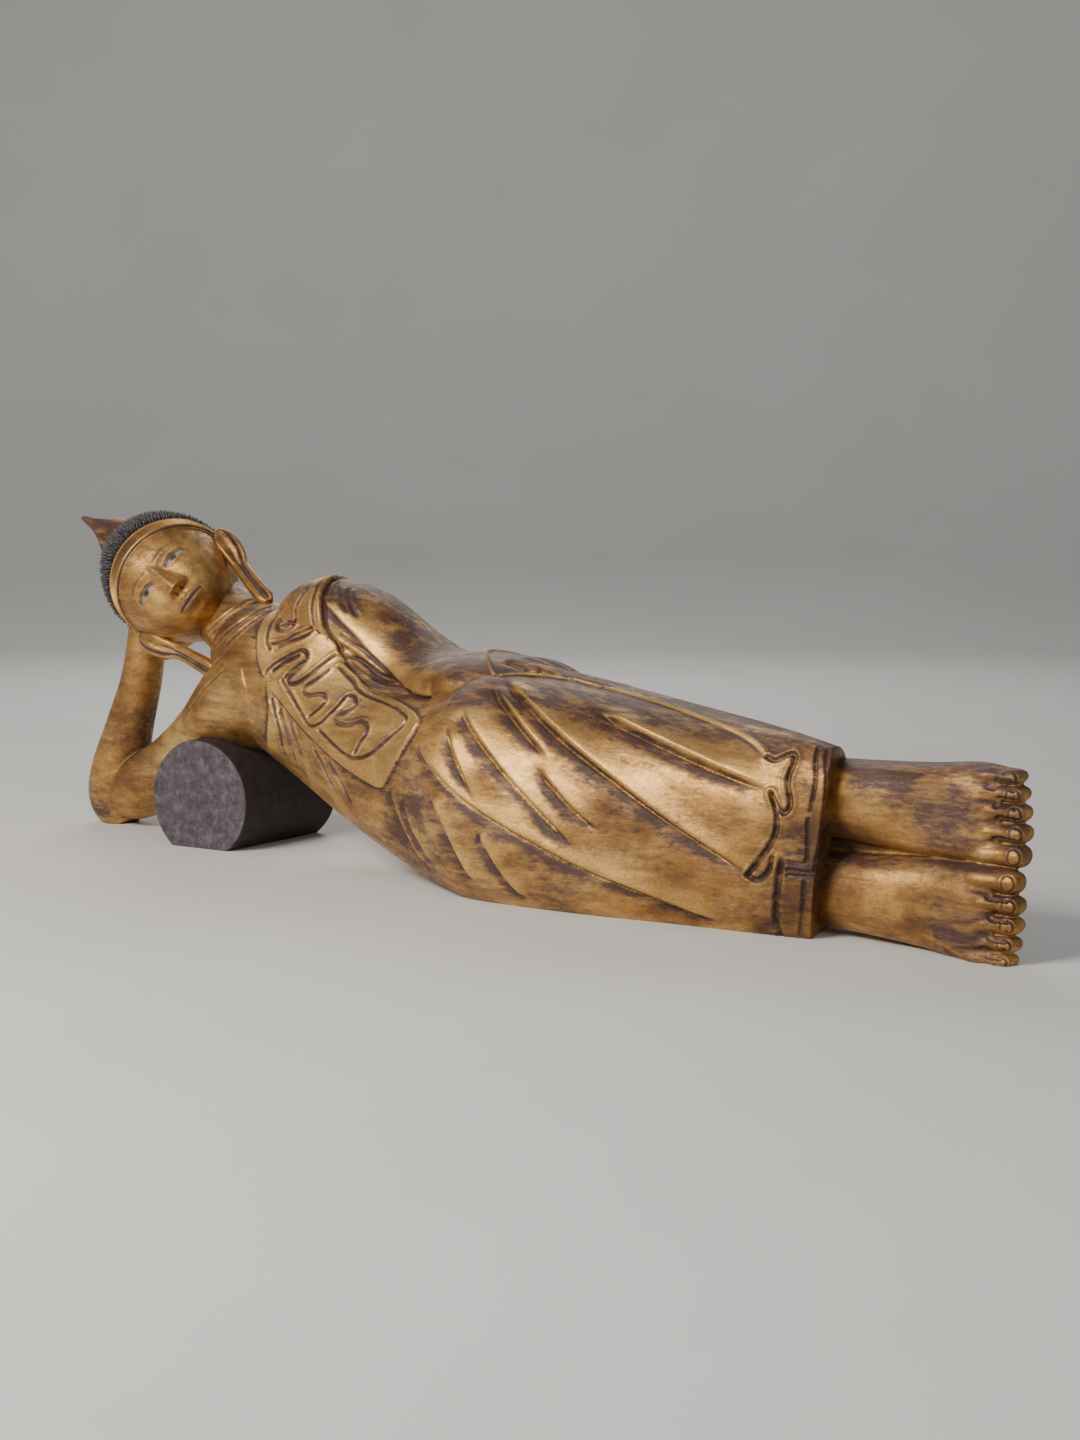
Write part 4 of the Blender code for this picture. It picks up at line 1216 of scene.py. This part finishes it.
def log_cutter():
    """The log grown by its clearance."""
    radius = LOG_DIAMETER / 2.0 + LOG_CLEARANCE
    mesh = bmesh.new()
    bmesh.ops.create_cone(mesh, cap_ends=True, segments=160, radius1=radius, radius2=radius,
                          depth=LOG_LENGTH + 2.0 * LOG_CLEARANCE)
    place = Vector((LOG_FACE_X * UNIT, LOG_FACE_Y * UNIT, LOG_DIAMETER / 2.0 - LOG_FLAT_CUT))
    axis = Vector((-math.sin(LOG_TURN), math.cos(LOG_TURN), 0.0))
    lie_down = Matrix.Rotation(LOG_TURN, 4, "Z") @ Matrix.Rotation(-math.pi / 2.0, 4, "X")
    mesh.transform(Matrix.Translation(place + axis * LOG_LENGTH / 2.0) @ lie_down)
    return new_object("log_cutter", mesh)


def build_body_mesh(voxel, triangles):
    """Trunk, neck, arms and hands in one surface, carved and cut to rest."""
    mesh = bmesh.new()
    add_loft(mesh, trunk_rings(TRUNK_SECTIONS))
    for rows in (LEFT_ARM, RIGHT_FOREARM, RIGHT_UPPER_ARM, NECK):
        add_loft(mesh, limb_rings(rows))
    for finger in right_hand_rows():
        add_loft(mesh, limb_rings(finger, sides=24, side=head_axes()[2]))
    for finger in left_hand_rows():
        add_loft(mesh, limb_rings(finger, sides=24))
    body = new_object("robed_body", mesh)
    voxel_block(body, voxel, 8)
    surface = apply_carving(body, carve_body)
    reduce_triangles(body, triangles)
    cut_away(body, floor_block())
    cut_away(body, log_cutter())
    mark_painted_light_and_wear(body, surface, carve_body)
    return body


def nail_loops():
    """A ring round each toenail, on the foot's upper side near its tip."""
    loops = []
    for foot, big_toe_up in ((LEFT_FOOT, False), (RIGHT_FOOT, True)):
        for toe in toe_rows(foot, big_toe_up):
            width = toe[1][3]
            centre = np.array((toe[5][0] - 8.0, toe[5][1] - 9.0, toe[5][2]))
            loops.append([centre + np.array((4.2 * math.cos(angle), 0.0, 0.52 * width * math.sin(angle)))
                          for angle in np.linspace(0.0, 2.0 * math.pi, 13)])
    return loops


def toe_gaps():
    """Lines between the toes, from the ball of the foot to the tips."""
    lines = []
    for foot, big_toe_up in ((LEFT_FOOT, False), (RIGHT_FOOT, True)):
        depth = foot[-1][1] - 18.0
        for height in toe_edges(foot, big_toe_up)[1:-1]:
            lines.append([(x, depth, height) for x in (-56, -38, -22, -6)])
    return lines


def carve_feet(carver):
    """Rings round the toenails and creases between the toes."""
    # Both grooves leave dark lacquer and painted shade round the nails and between the toes.
    carver.groove(nail_loops(), "near", depth=0.8, width=0.8, lip=0.5, stain_and_shade=0.6)
    carver.groove(toe_gaps(), "near", depth=1.4, width=1.4, lip=0.2, taper=(36.0, 1.0), stain_and_shade=0.6)


def build_feet_mesh(voxel, triangles):
    """Both feet, from inside the hem to the toes."""
    mesh = bmesh.new()
    add_loft(mesh, limb_rings(ANKLE_WEB))
    for rows, big_toe_up in ((LEFT_FOOT, False), (RIGHT_FOOT, True)):
        add_loft(mesh, limb_rings(rows, roundness=FOOT_ROUNDNESS))
        for toe in toe_rows(rows, big_toe_up):
            add_loft(mesh, limb_rings(toe, sides=32))
    feet = new_object("feet", mesh)
    voxel_block(feet, voxel, 6)
    surface = apply_carving(feet, carve_feet)
    reduce_triangles(feet, triangles)
    cut_away(feet, floor_block())
    mark_painted_light_and_wear(feet, surface, carve_feet)
    return feet


def build_log_mesh():
    """The log with a slightly uneven bark side, flat faces and worn rims."""
    radius = LOG_DIAMETER / 2.0
    generator = np.random.default_rng(LOG_SEED)
    phases = generator.uniform(0.0, 2.0 * math.pi, 8)
    centre_height = radius - LOG_FLAT_CUT
    axis = np.array((-math.sin(LOG_TURN), math.cos(LOG_TURN), 0.0))
    across = np.array((math.cos(LOG_TURN), math.sin(LOG_TURN), 0.0))
    face = np.array((LOG_FACE_X * UNIT, LOG_FACE_Y * UNIT, centre_height))
    profile = []
    for share in np.linspace(0.02, 0.96, 24):
        profile.append((share, 0.0))
    for turn in np.linspace(0.0, math.pi / 2.0, 5):
        profile.append((0.976 + 0.024 * math.sin(turn), 0.0015 * (1.0 - math.cos(turn))))
    for along in np.linspace(0.0025, LOG_LENGTH - 0.0025, LOG_RINGS):
        profile.append((1.0, along))
    profile += [(share, LOG_LENGTH - along) for share, along in reversed(profile[:-LOG_RINGS])]
    points = [face]
    for share, along in profile:
        on_side = 1.0 if 0.0 < along < LOG_LENGTH else share
        for step in range(LOG_SIDES):
            angle = 2.0 * math.pi * step / LOG_SIDES
            sway = sum(math.sin(angle * (2 + k) + phase + along * 18.0 * (k + 1)) / (2.0 + k)
                       for k, phase in enumerate(phases))
            reach = radius * share - 0.0006 * max(0.0, sway + 0.4) * on_side
            height = reach * math.sin(angle)
            point = face + axis * along + across * reach * math.cos(angle)
            point = point + np.array((0.0, 0.0, max(height, -centre_height)))
            points.append(point)
    points.append(face + axis * LOG_LENGTH)
    faces = [(0, 1 + (step + 1) % LOG_SIDES, 1 + step) for step in range(LOG_SIDES)]
    for row in range(len(profile) - 1):
        low = 1 + row * LOG_SIDES
        high = low + LOG_SIDES
        for step in range(LOG_SIDES):
            after = (step + 1) % LOG_SIDES
            faces.append((low + step, low + after, high + after, high + step))
    last = 1 + (len(profile) - 1) * LOG_SIDES
    faces += [(last + step, last + (step + 1) % LOG_SIDES, len(points) - 1) for step in range(LOG_SIDES)]
    data = bpy.data.meshes.new("log")
    data.from_pydata(np.array(points).tolist(), [], faces)
    item = bpy.data.objects.new("log", data)
    bpy.context.scene.collection.objects.link(item)
    mesh = bmesh.new()
    mesh.from_mesh(data)
    bmesh.ops.remove_doubles(mesh, verts=mesh.verts, dist=1e-6)
    bmesh.ops.recalc_face_normals(mesh, faces=mesh.faces)
    mesh.to_mesh(data)
    mesh.free()
    return item


class Finish:
    """A small helper that lays out the nodes of one material."""

    def __init__(self, name):
        self.material = bpy.data.materials.new(name)
        self.material.use_nodes = True
        self.tree = self.material.node_tree
        self.shader = self.tree.nodes["Principled BSDF"]
        self.place = self.tree.nodes.new("ShaderNodeTexCoord").outputs["Object"]

    def link(self, source, target):
        """Join an output to an input."""
        self.tree.links.new(source, target)

    def surface(self, colour, rough, metal=None):
        """Colour, roughness and metal of the surface, plain numbers set as they are."""
        for name, value in (("Base Color", colour), ("Roughness", rough), ("Metallic", metal)):
            socket = self.shader.inputs[name]
            if isinstance(value, float):
                socket.default_value = value
            elif value is not None:
                self.link(value, socket)

    def noise(self, scale, detail=6.0, roughness=0.55, stretch=None, tilt=0.0):
        """Noise in the object's own space, stretched and tilted if asked."""
        node = self.tree.nodes.new("ShaderNodeTexNoise")
        node.inputs["Scale"].default_value = scale
        node.inputs["Detail"].default_value = detail
        node.inputs["Roughness"].default_value = roughness
        source = self.place
        if stretch is not None:
            mapping = self.tree.nodes.new("ShaderNodeMapping")
            mapping.inputs["Scale"].default_value = stretch
            mapping.inputs["Rotation"].default_value = (0.0, -tilt, 0.0)
            self.link(self.place, mapping.inputs["Vector"])
            source = mapping.outputs["Vector"]
        self.link(source, node.inputs["Vector"])
        return node.outputs["Fac"]

    def ramp(self, source, stops):
        """Colour or value ramp from (position, value or colour) stops."""
        node = self.tree.nodes.new("ShaderNodeValToRGB")
        elements = node.color_ramp.elements
        while len(elements) < len(stops):
            elements.new(0.5)
        for element, (position, value) in zip(elements, stops):
            element.position = position
            element.color = (*value, 1.0) if isinstance(value, tuple) else (value, value, value, 1.0)
        self.link(source, node.inputs["Fac"])
        return node.outputs["Color"]

    def math(self, operation, first, second):
        """A clamped sum, product, maximum and so on."""
        node = self.tree.nodes.new("ShaderNodeMath")
        node.operation = operation
        node.use_clamp = True
        for socket, value in zip(node.inputs, (first, second)):
            if isinstance(value, (int, float)):
                socket.default_value = value
            else:
                self.link(value, socket)
        return node.outputs["Value"]

    def mix(self, share, first, second):
        """Mix two colours by a share."""
        node = self.tree.nodes.new("ShaderNodeMix")
        node.data_type = "RGBA"
        for socket, value in ((node.inputs[0], share), (node.inputs[6], first), (node.inputs[7], second)):
            if isinstance(value, tuple):
                socket.default_value = (*value, 1.0)
            elif isinstance(value, (int, float)):
                socket.default_value = value
            else:
                self.link(value, socket)
        return node.outputs[2]

    def mask(self, name):
        """A value stored on the mesh's vertices."""
        node = self.tree.nodes.new("ShaderNodeAttribute")
        node.attribute_name = name
        return node.outputs["Fac"]

    def facing(self, direction):
        """How far the surface faces a direction, from -1 to 1."""
        geometry = self.tree.nodes.new("ShaderNodeNewGeometry")
        dot = self.tree.nodes.new("ShaderNodeVectorMath")
        dot.operation = "DOT_PRODUCT"
        dot.inputs[1].default_value = direction
        self.link(geometry.outputs["Normal"], dot.inputs[0])
        return dot.outputs["Value"]

    def bumps(self, *layers):
        """Bump layers, each a height source, strength and distance."""
        normal = None
        for source, strength, distance in layers:
            node = self.tree.nodes.new("ShaderNodeBump")
            node.inputs["Strength"].default_value = strength
            node.inputs["Distance"].default_value = distance
            self.link(source, node.inputs["Height"])
            if normal is not None:
                self.link(normal, node.inputs["Normal"])
            normal = node.outputs["Normal"]
        self.link(normal, self.shader.inputs["Normal"])


def paint_face(finish, tone, colour, metal):
    """Eyes and lips painted over the gold."""
    lips = finish.ramp(finish.mask("lips"), ((0.28, 0.0), (0.42, 0.55)))
    opening, iris, pupil = (finish.ramp(finish.mask(name), ((0.50, 0.0), (0.56, 1.0)))
                            for name in ("eye", "iris", "pupil"))
    iris = finish.math("MULTIPLY", opening, iris)
    pupil = finish.math("MULTIPLY", opening, pupil)
    whites = finish.ramp(tone, ((0.3, EYE_WHITES[0]), (0.7, EYE_WHITES[1])))
    for share, paint in ((lips, LIP_COLOUR), (opening, whites), (iris, IRIS_COLOUR), (pupil, PUPIL_COLOUR)):
        colour = finish.mix(share, colour, paint)
    return colour, finish.math("SUBTRACT", metal, finish.math("MAXIMUM", opening, lips))


def gilded_finish(colours, name, upper_shade=0.40, wear_and_shade_share=1.0, painted_face=False):
    """Worn gold leaf over dark lacquer, dark in the carving with lacquer and painted shade.

    Upper shade is how much painted shade, shown as worn-through lacquer, darkens
    the upper sides, and the wear share how much of the gold is worn away, that
    upper shade included, where nothing is carved.
    """
    finish = Finish(name)
    pale = tuple(colours.gold_pale)
    warm = tuple(colours.gold_warm)
    brown = tuple(colours.gold_brown)
    dark = tuple(colours.lacquer_dark_and_shade)

    tone = finish.noise(13.0, 6.0, 0.62)
    grain = finish.noise(75.0, 8.0, 0.68, stretch=(0.22, 1.0, 1.3), tilt=FLECK_TILT)
    flecks = finish.noise(210.0, 9.0, 0.75, stretch=(0.45, 1.0, 1.2), tilt=FLECK_TILT)
    streaks = finish.noise(34.0, 7.0, 0.66, stretch=(0.35, 1.0, 1.2), tilt=FLECK_TILT)
    streaks = finish.ramp(streaks, ((0.36, 0.12), (0.60, 0.62)))
    relief_highlight_and_shade = finish.mask("relief_highlight_and_shade")
    bright = finish.mask("bright")
    lacquer_and_shade = finish.mask("lacquer_and_shade")

    # Gold, browner in its grain, with painted highlights that make it paler on crests and ridges.
    gold = finish.ramp(tone, ((0.30, brown), (0.48, warm), (0.70, pale)))
    gold = finish.mix(finish.ramp(grain, ((0.34, 0.65), (0.56, 0.0))), gold, brown)
    gold = finish.mix(finish.math("MULTIPLY", relief_highlight_and_shade, 0.40), gold, pale)
    gold = finish.mix(finish.math("MULTIPLY", bright, 0.70), gold, pale)

    # Wear and painted shade: worn patches, painted shade on upper sides and patina, then the carving's
    # lacquer and painted shade.
    broad = finish.ramp(finish.noise(8.0, 5.0, 0.62), ((0.42, 0.0), (0.72, 0.40)))
    # Painted shade: the upper sides darken toward the lacquer.
    upward = finish.ramp(finish.facing((0.0, 0.0, 1.0)), ((0.40, 0.0), (0.95, 1.0)))
    depth = finish.math("ADD", finish.math("MULTIPLY", streaks, upper_shade), 0.55 * upper_shade)
    upward = finish.math("MULTIPLY", upward, depth)
    patina = finish.math("MULTIPLY", finish.mask("patina"), streaks)
    wear_and_shade = finish.math("ADD", finish.math("ADD", broad, upward), patina)
    wear_and_shade = finish.math("MULTIPLY", wear_and_shade, wear_and_shade_share)
    wear_and_shade = finish.math("SUBTRACT", wear_and_shade, finish.math("MULTIPLY", relief_highlight_and_shade, 0.30))
    wear_and_shade = finish.math("ADD", wear_and_shade, lacquer_and_shade)
    wear_and_shade = finish.math("SUBTRACT", wear_and_shade, bright)
    wear_and_shade = finish.math("ADD", wear_and_shade, finish.math("SUBTRACT", flecks, 0.36))
    worn = finish.ramp(wear_and_shade, ((0.24, 0.0), (0.60, 1.0)))

    lacquer = finish.ramp(tone, ((0.4, 0.0), (0.65, 1.0)))
    lacquer = finish.mix(lacquer, dark, tuple(colours.lacquer_plum))
    lacquer = finish.mix(finish.ramp(grain, ((0.50, 0.0), (0.66, 0.55))), lacquer, warm)
    colour = finish.mix(finish.math("MULTIPLY", worn, 0.94), gold, lacquer)
    # Painted shade: the carving's hollows darken to the dark lacquer colour.
    colour = finish.mix(finish.ramp(lacquer_and_shade, ((0.40, 0.0), (0.90, 0.65))), colour, dark)
    dust = finish.ramp(finish.noise(520.0, 5.0, 0.7), ((0.50, 0.0), (0.66, 0.75)))
    dust = finish.math("MULTIPLY", dust, finish.ramp(tone, ((0.35, 1.0), (0.7, 0.35))))
    colour = finish.mix(dust, colour, brown)
    metal = finish.math("SUBTRACT", 0.78, finish.math("MULTIPLY", worn, 0.66))
    rough = finish.ramp(flecks, ((0.3, 0.34), (0.7, 0.52)))
    rough = finish.math("ADD", rough, finish.math("MULTIPLY", worn, 0.14))
    if painted_face:
        colour, metal = paint_face(finish, tone, colour, metal)
    finish.surface(colour, rough, metal)
    finish.bumps((flecks, 0.5, 0.0009), (finish.noise(900.0, 3.0), 0.25, 0.0003), (grain, 0.35, 0.0012))
    return finish.material


def trim_finish(colours):
    """The cleaner gold that the hairband and the ears share."""
    made = bpy.data.materials.get("gilded_trim")
    return made or gilded_finish(colours, "gilded_trim", upper_shade=0.05, wear_and_shade_share=0.7)


def hair_finish():
    """Black lacquered hair, with grey painted highlights on its points."""
    finish = Finish("black_lacquer_hair")
    tone = finish.noise(260.0, 5.0, 0.6)
    black, tip_highlight = (finish.ramp(tone, ((0.35, shades[0]), (0.70, shades[1])))
                    for shades in (HAIR_BLACKS, HAIR_TIP_HIGHLIGHTS))
    # Painted highlights: grey on the curls' points.
    colour = finish.mix(finish.ramp(finish.mask("tip"), ((0.35, 0.0), (1.0, 0.95))), black, tip_highlight)
    finish.surface(colour, finish.ramp(tone, ((0.3, 0.42), (0.7, 0.70))))
    finish.bumps((finish.noise(600.0, 4.0), 0.3, 0.0003))
    return finish.material


def log_finish():
    """Dark plum lacquer on the log, paler and mottled on its flat ends."""
    finish = Finish("dark_log")
    mottle = finish.noise(110.0, 9.0, 0.78)
    fine = finish.noise(520.0, 6.0, 0.7)
    ends = finish.ramp(mottle, tuple(zip((0.36, 0.52, 0.68), LOG_END_PLUMS)))
    side = finish.ramp(mottle, tuple(zip((0.35, 0.70), LOG_SIDE_PLUMS)))
    along = finish.facing((-math.sin(LOG_TURN), math.cos(LOG_TURN), 0.0))
    end_share = finish.ramp(finish.math("MULTIPLY", along, along), ((0.45, 0.0), (0.85, 1.0)))
    colour = finish.mix(end_share, side, ends)
    finish.surface(colour, finish.ramp(fine, ((0.3, 0.62), (0.7, 0.9))))
    finish.bumps((fine, 0.5, 0.0006), (mottle, 0.4, 0.0015))
    return finish.material


def floor_finish():
    """Plain pale floor."""
    finish = Finish("pale_floor")
    tone = finish.noise(3.0, 4.0, 0.5)
    finish.surface(finish.ramp(tone, tuple(zip((0.3, 0.7), FLOOR_GREYS))), 0.85)
    return finish.material


def dress(item, material):
    """Move a piece into the frame, give it its finish and let it ride."""
    item.data.transform(Matrix.Translation(SHIFT))
    item.data.materials.clear()
    item.data.materials.append(material)
    shade_smooth(item)
    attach(item, "root")


def add_floor():
    """A plain floor that curves up into a wall far behind."""
    rows = [(-FLOOR_REACH, 0.0), (FLOOR_BACK, 0.0)]
    for angle in np.linspace(0.0, math.pi / 2.0, 17)[1:]:
        rows.append((FLOOR_BACK + FLOOR_CURVE * math.sin(angle), FLOOR_CURVE * (1.0 - math.cos(angle))))
    rows.append((FLOOR_BACK + FLOOR_CURVE, WALL_HEIGHT))
    mesh = bmesh.new()
    turn = Matrix.Rotation(CAMERA_YAW, 4, "Z")
    loops = []
    for depth, height in rows:
        loops.append([mesh.verts.new(turn @ Vector((side, depth, height)))
                      for side in (-FLOOR_REACH, FLOOR_REACH)])
    for lower, upper in zip(loops, loops[1:]):
        mesh.faces.new((lower[0], lower[1], upper[1], upper[0]))
    floor = new_object("floor", mesh)
    floor.data.materials.append(floor_finish())
    shade_smooth(floor)


def add_light(name, place, aim, size, power, colour):
    """One soft rectangular light."""
    light = bpy.data.lights.new(name, "AREA")
    light.shape = "RECTANGLE"
    light.size, light.size_y = size
    light.energy = power
    light.color = colour
    lamp = bpy.data.objects.new(name, light)
    lamp.location = place
    lamp.rotation_euler = (Vector(aim) - Vector(place)).to_track_quat("-Z", "Y").to_euler()
    bpy.context.scene.collection.objects.link(lamp)


def add_room_light():
    """The even light of a pale room."""
    world = bpy.data.worlds.new("studio")
    world.use_nodes = True
    background = world.node_tree.nodes["Background"]
    background.inputs["Color"].default_value = ROOM_COLOUR
    background.inputs["Strength"].default_value = ROOM_STRENGTH
    bpy.context.scene.world = world


def add_camera():
    """The camera at the angle of the reference view."""
    data = bpy.data.cameras.new("view")
    data.sensor_fit = "VERTICAL"
    data.sensor_height = CAMERA_SENSOR
    data.lens = CAMERA_LENS
    camera = bpy.data.objects.new("view", data)
    level = math.cos(CAMERA_PITCH)
    forward = Vector((-math.sin(CAMERA_YAW) * level, math.cos(CAMERA_YAW) * level, -math.sin(CAMERA_PITCH)))
    right = Vector((math.cos(CAMERA_YAW), math.sin(CAMERA_YAW), 0.0))
    placed = Matrix((right, right.cross(forward), -forward)).transposed().to_4x4()
    placed.translation = Vector(CAMERA_PLACE) + SHIFT
    camera.matrix_world = placed
    bpy.context.scene.collection.objects.link(camera)
    bpy.context.scene.camera = camera


class CarvingSettings(bpy.types.PropertyGroup):
    """Fineness and hair of the carving, lengths in units of 1 mm on the real figure."""

    body_voxel: FloatProperty(
        name="Body grid", description="Grid of the carved body", default=BODY_VOXEL, min=0.8, max=6.0)
    body_triangles: IntProperty(
        name="Body triangles", description="Triangles kept in the body",
        default=BODY_TRIANGLES, min=5000, max=195000)
    feet_voxel: FloatProperty(
        name="Feet grid", description="Grid of the carved feet", default=FEET_VOXEL, min=0.8, max=6.0)
    feet_triangles: IntProperty(
        name="Feet triangles", description="Triangles kept in the feet",
        default=FEET_TRIANGLES, min=3000, max=195000)
    curl_spacing: FloatProperty(
        name="Curl spacing", description="Distance between hair curls",
        default=HAIR_CURL_SPACING, min=2.5, max=12.0)
    curl_height: FloatProperty(
        name="Curl height", description="How far a curl stands out",
        default=HAIR_CURL_HEIGHT, min=1.0, max=12.0)


def colour_property(name, description, default):
    """A colour that the user can change."""
    return FloatVectorProperty(
        name=name, description=description, default=default, min=0.0, max=1.0, subtype="COLOR")


class CarvingColours(bpy.types.PropertyGroup):
    """Colours of the gold and of the lacquer under it."""

    # Pale gold also gives the painted highlights; dark lacquer also the painted shade in the carving.
    gold_pale: colour_property("Pale gold", "Gold on crests", GOLD_PALE)
    gold_warm: colour_property("Warm gold", "Gold on plain cloth", GOLD_WARM)
    gold_brown: colour_property("Brown gold", "Thin, dusty gold", GOLD_BROWN)
    lacquer_dark_and_shade: colour_property("Dark lacquer", "Lacquer in the grooves", LACQUER_DARK_AND_SHADE)
    lacquer_plum: colour_property("Plum lacquer", "Lacquer where the gold is worn off", LACQUER_PLUM)


class CARVING_OT_body(bpy.types.Operator):
    """Build the robed body with its arms and hands"""

    bl_idname = "carving.body"
    bl_label = "Body"

    def execute(self, context):
        settings = context.scene.carving
        body = build_body_mesh(settings.body_voxel, settings.body_triangles)
        dress(body, gilded_finish(context.scene.carving_colours, "gilded_robe"))
        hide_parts(FIGURE_NODE)
        return {"FINISHED"}


class CARVING_OT_feet(bpy.types.Operator):
    """Build the two feet with toes and nails"""

    bl_idname = "carving.feet"
    bl_label = "Feet"

    def execute(self, context):
        settings = context.scene.carving
        feet = build_feet_mesh(settings.feet_voxel, settings.feet_triangles)
        dress(feet, gilded_finish(context.scene.carving_colours, "gilded_feet"))
        return {"FINISHED"}


class CARVING_OT_head(bpy.types.Operator):
    """Build the head with its face"""

    bl_idname = "carving.head"
    bl_label = "Head"

    def execute(self, context):
        finish = gilded_finish(context.scene.carving_colours, "gilded_face",
                               upper_shade=0.08, wear_and_shade_share=0.58, painted_face=True)
        dress(build_head_mesh(), finish)
        return {"FINISHED"}


class CARVING_OT_hairband(bpy.types.Operator):
    """Build the ribbed hairband"""

    bl_idname = "carving.hairband"
    bl_label = "Hairband"

    def execute(self, context):
        dress(build_hairband_mesh(), trim_finish(context.scene.carving_colours))
        return {"FINISHED"}


class CARVING_OT_ears(bpy.types.Operator):
    """Build the two long ears"""

    bl_idname = "carving.ears"
    bl_label = "Ears"

    def execute(self, context):
        for side, name in ((1.0, "right_ear"), (-1.0, "left_ear")):
            dress(build_ear_mesh(side, name), trim_finish(context.scene.carving_colours))
        return {"FINISHED"}


class CARVING_OT_finial(bpy.types.Operator):
    """Build the finial on the crown"""

    bl_idname = "carving.finial"
    bl_label = "Finial"

    def execute(self, context):
        finish = gilded_finish(context.scene.carving_colours, "dark_finial", upper_shade=0.5, wear_and_shade_share=1.5)
        dress(build_finial_mesh(), finish)
        return {"FINISHED"}


class CARVING_OT_hair(bpy.types.Operator):
    """Build the cap of pointed hair curls"""

    bl_idname = "carving.hair"
    bl_label = "Hair"

    def execute(self, context):
        settings = context.scene.carving
        dress(build_hair_mesh(settings.curl_spacing, settings.curl_height), hair_finish())
        return {"FINISHED"}


class CARVING_OT_log(bpy.types.Operator):
    """Build the log under the arm"""

    bl_idname = "carving.log"
    bl_label = "Log"

    def execute(self, context):
        log = build_log_mesh()
        dress(log, log_finish())
        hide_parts(LOG_NODE)
        return {"FINISHED"}


class CARVING_OT_stage(bpy.types.Operator):
    """Build the plain floor, the soft lights and the camera"""

    bl_idname = "carving.stage"
    bl_label = "Stage"

    def execute(self, context):
        add_floor()
        for light in LIGHTS:
            add_light(*light)
        add_room_light()
        add_camera()
        return {"FINISHED"}


PIECE_OPERATORS = (
    CARVING_OT_body, CARVING_OT_feet, CARVING_OT_head, CARVING_OT_hairband, CARVING_OT_ears,
    CARVING_OT_finial, CARVING_OT_hair, CARVING_OT_log, CARVING_OT_stage,
)


class CARVING_PT_panel(bpy.types.Panel):
    """Sizes, colours and a button for each piece of the carving"""

    bl_label = "Reclining Buddha"
    bl_idname = "CARVING_PT_panel"
    bl_space_type = "VIEW_3D"
    bl_region_type = "UI"
    bl_category = "Carving"

    def draw(self, context):
        column = self.layout.column()
        for group, kind in ((context.scene.carving, CarvingSettings),
                            (context.scene.carving_colours, CarvingColours)):
            for name in kind.__annotations__:
                column.prop(group, name)
        for operator in PIECE_OPERATORS:
            column.operator(operator.bl_idname)


CLASSES = (CarvingSettings, CarvingColours, *PIECE_OPERATORS, CARVING_PT_panel)


def register():
    """Make the settings, the buttons and the panel known."""
    for item in CLASSES:
        bpy.utils.register_class(item)
    bpy.types.Scene.carving = PointerProperty(type=CarvingSettings)
    bpy.types.Scene.carving_colours = PointerProperty(type=CarvingColours)


def unregister():
    """Take them away again."""
    del bpy.types.Scene.carving_colours
    del bpy.types.Scene.carving
    for item in reversed(CLASSES):
        bpy.utils.unregister_class(item)


def main():
    """Build every piece and the stage in order."""
    register()
    bpy.ops.carving.body()
    bpy.ops.carving.feet()
    bpy.ops.carving.head()
    bpy.ops.carving.hairband()
    bpy.ops.carving.ears()
    bpy.ops.carving.finial()
    bpy.ops.carving.hair()
    bpy.ops.carving.log()
    bpy.ops.carving.stage()


if __name__ == "__main__":
    main()
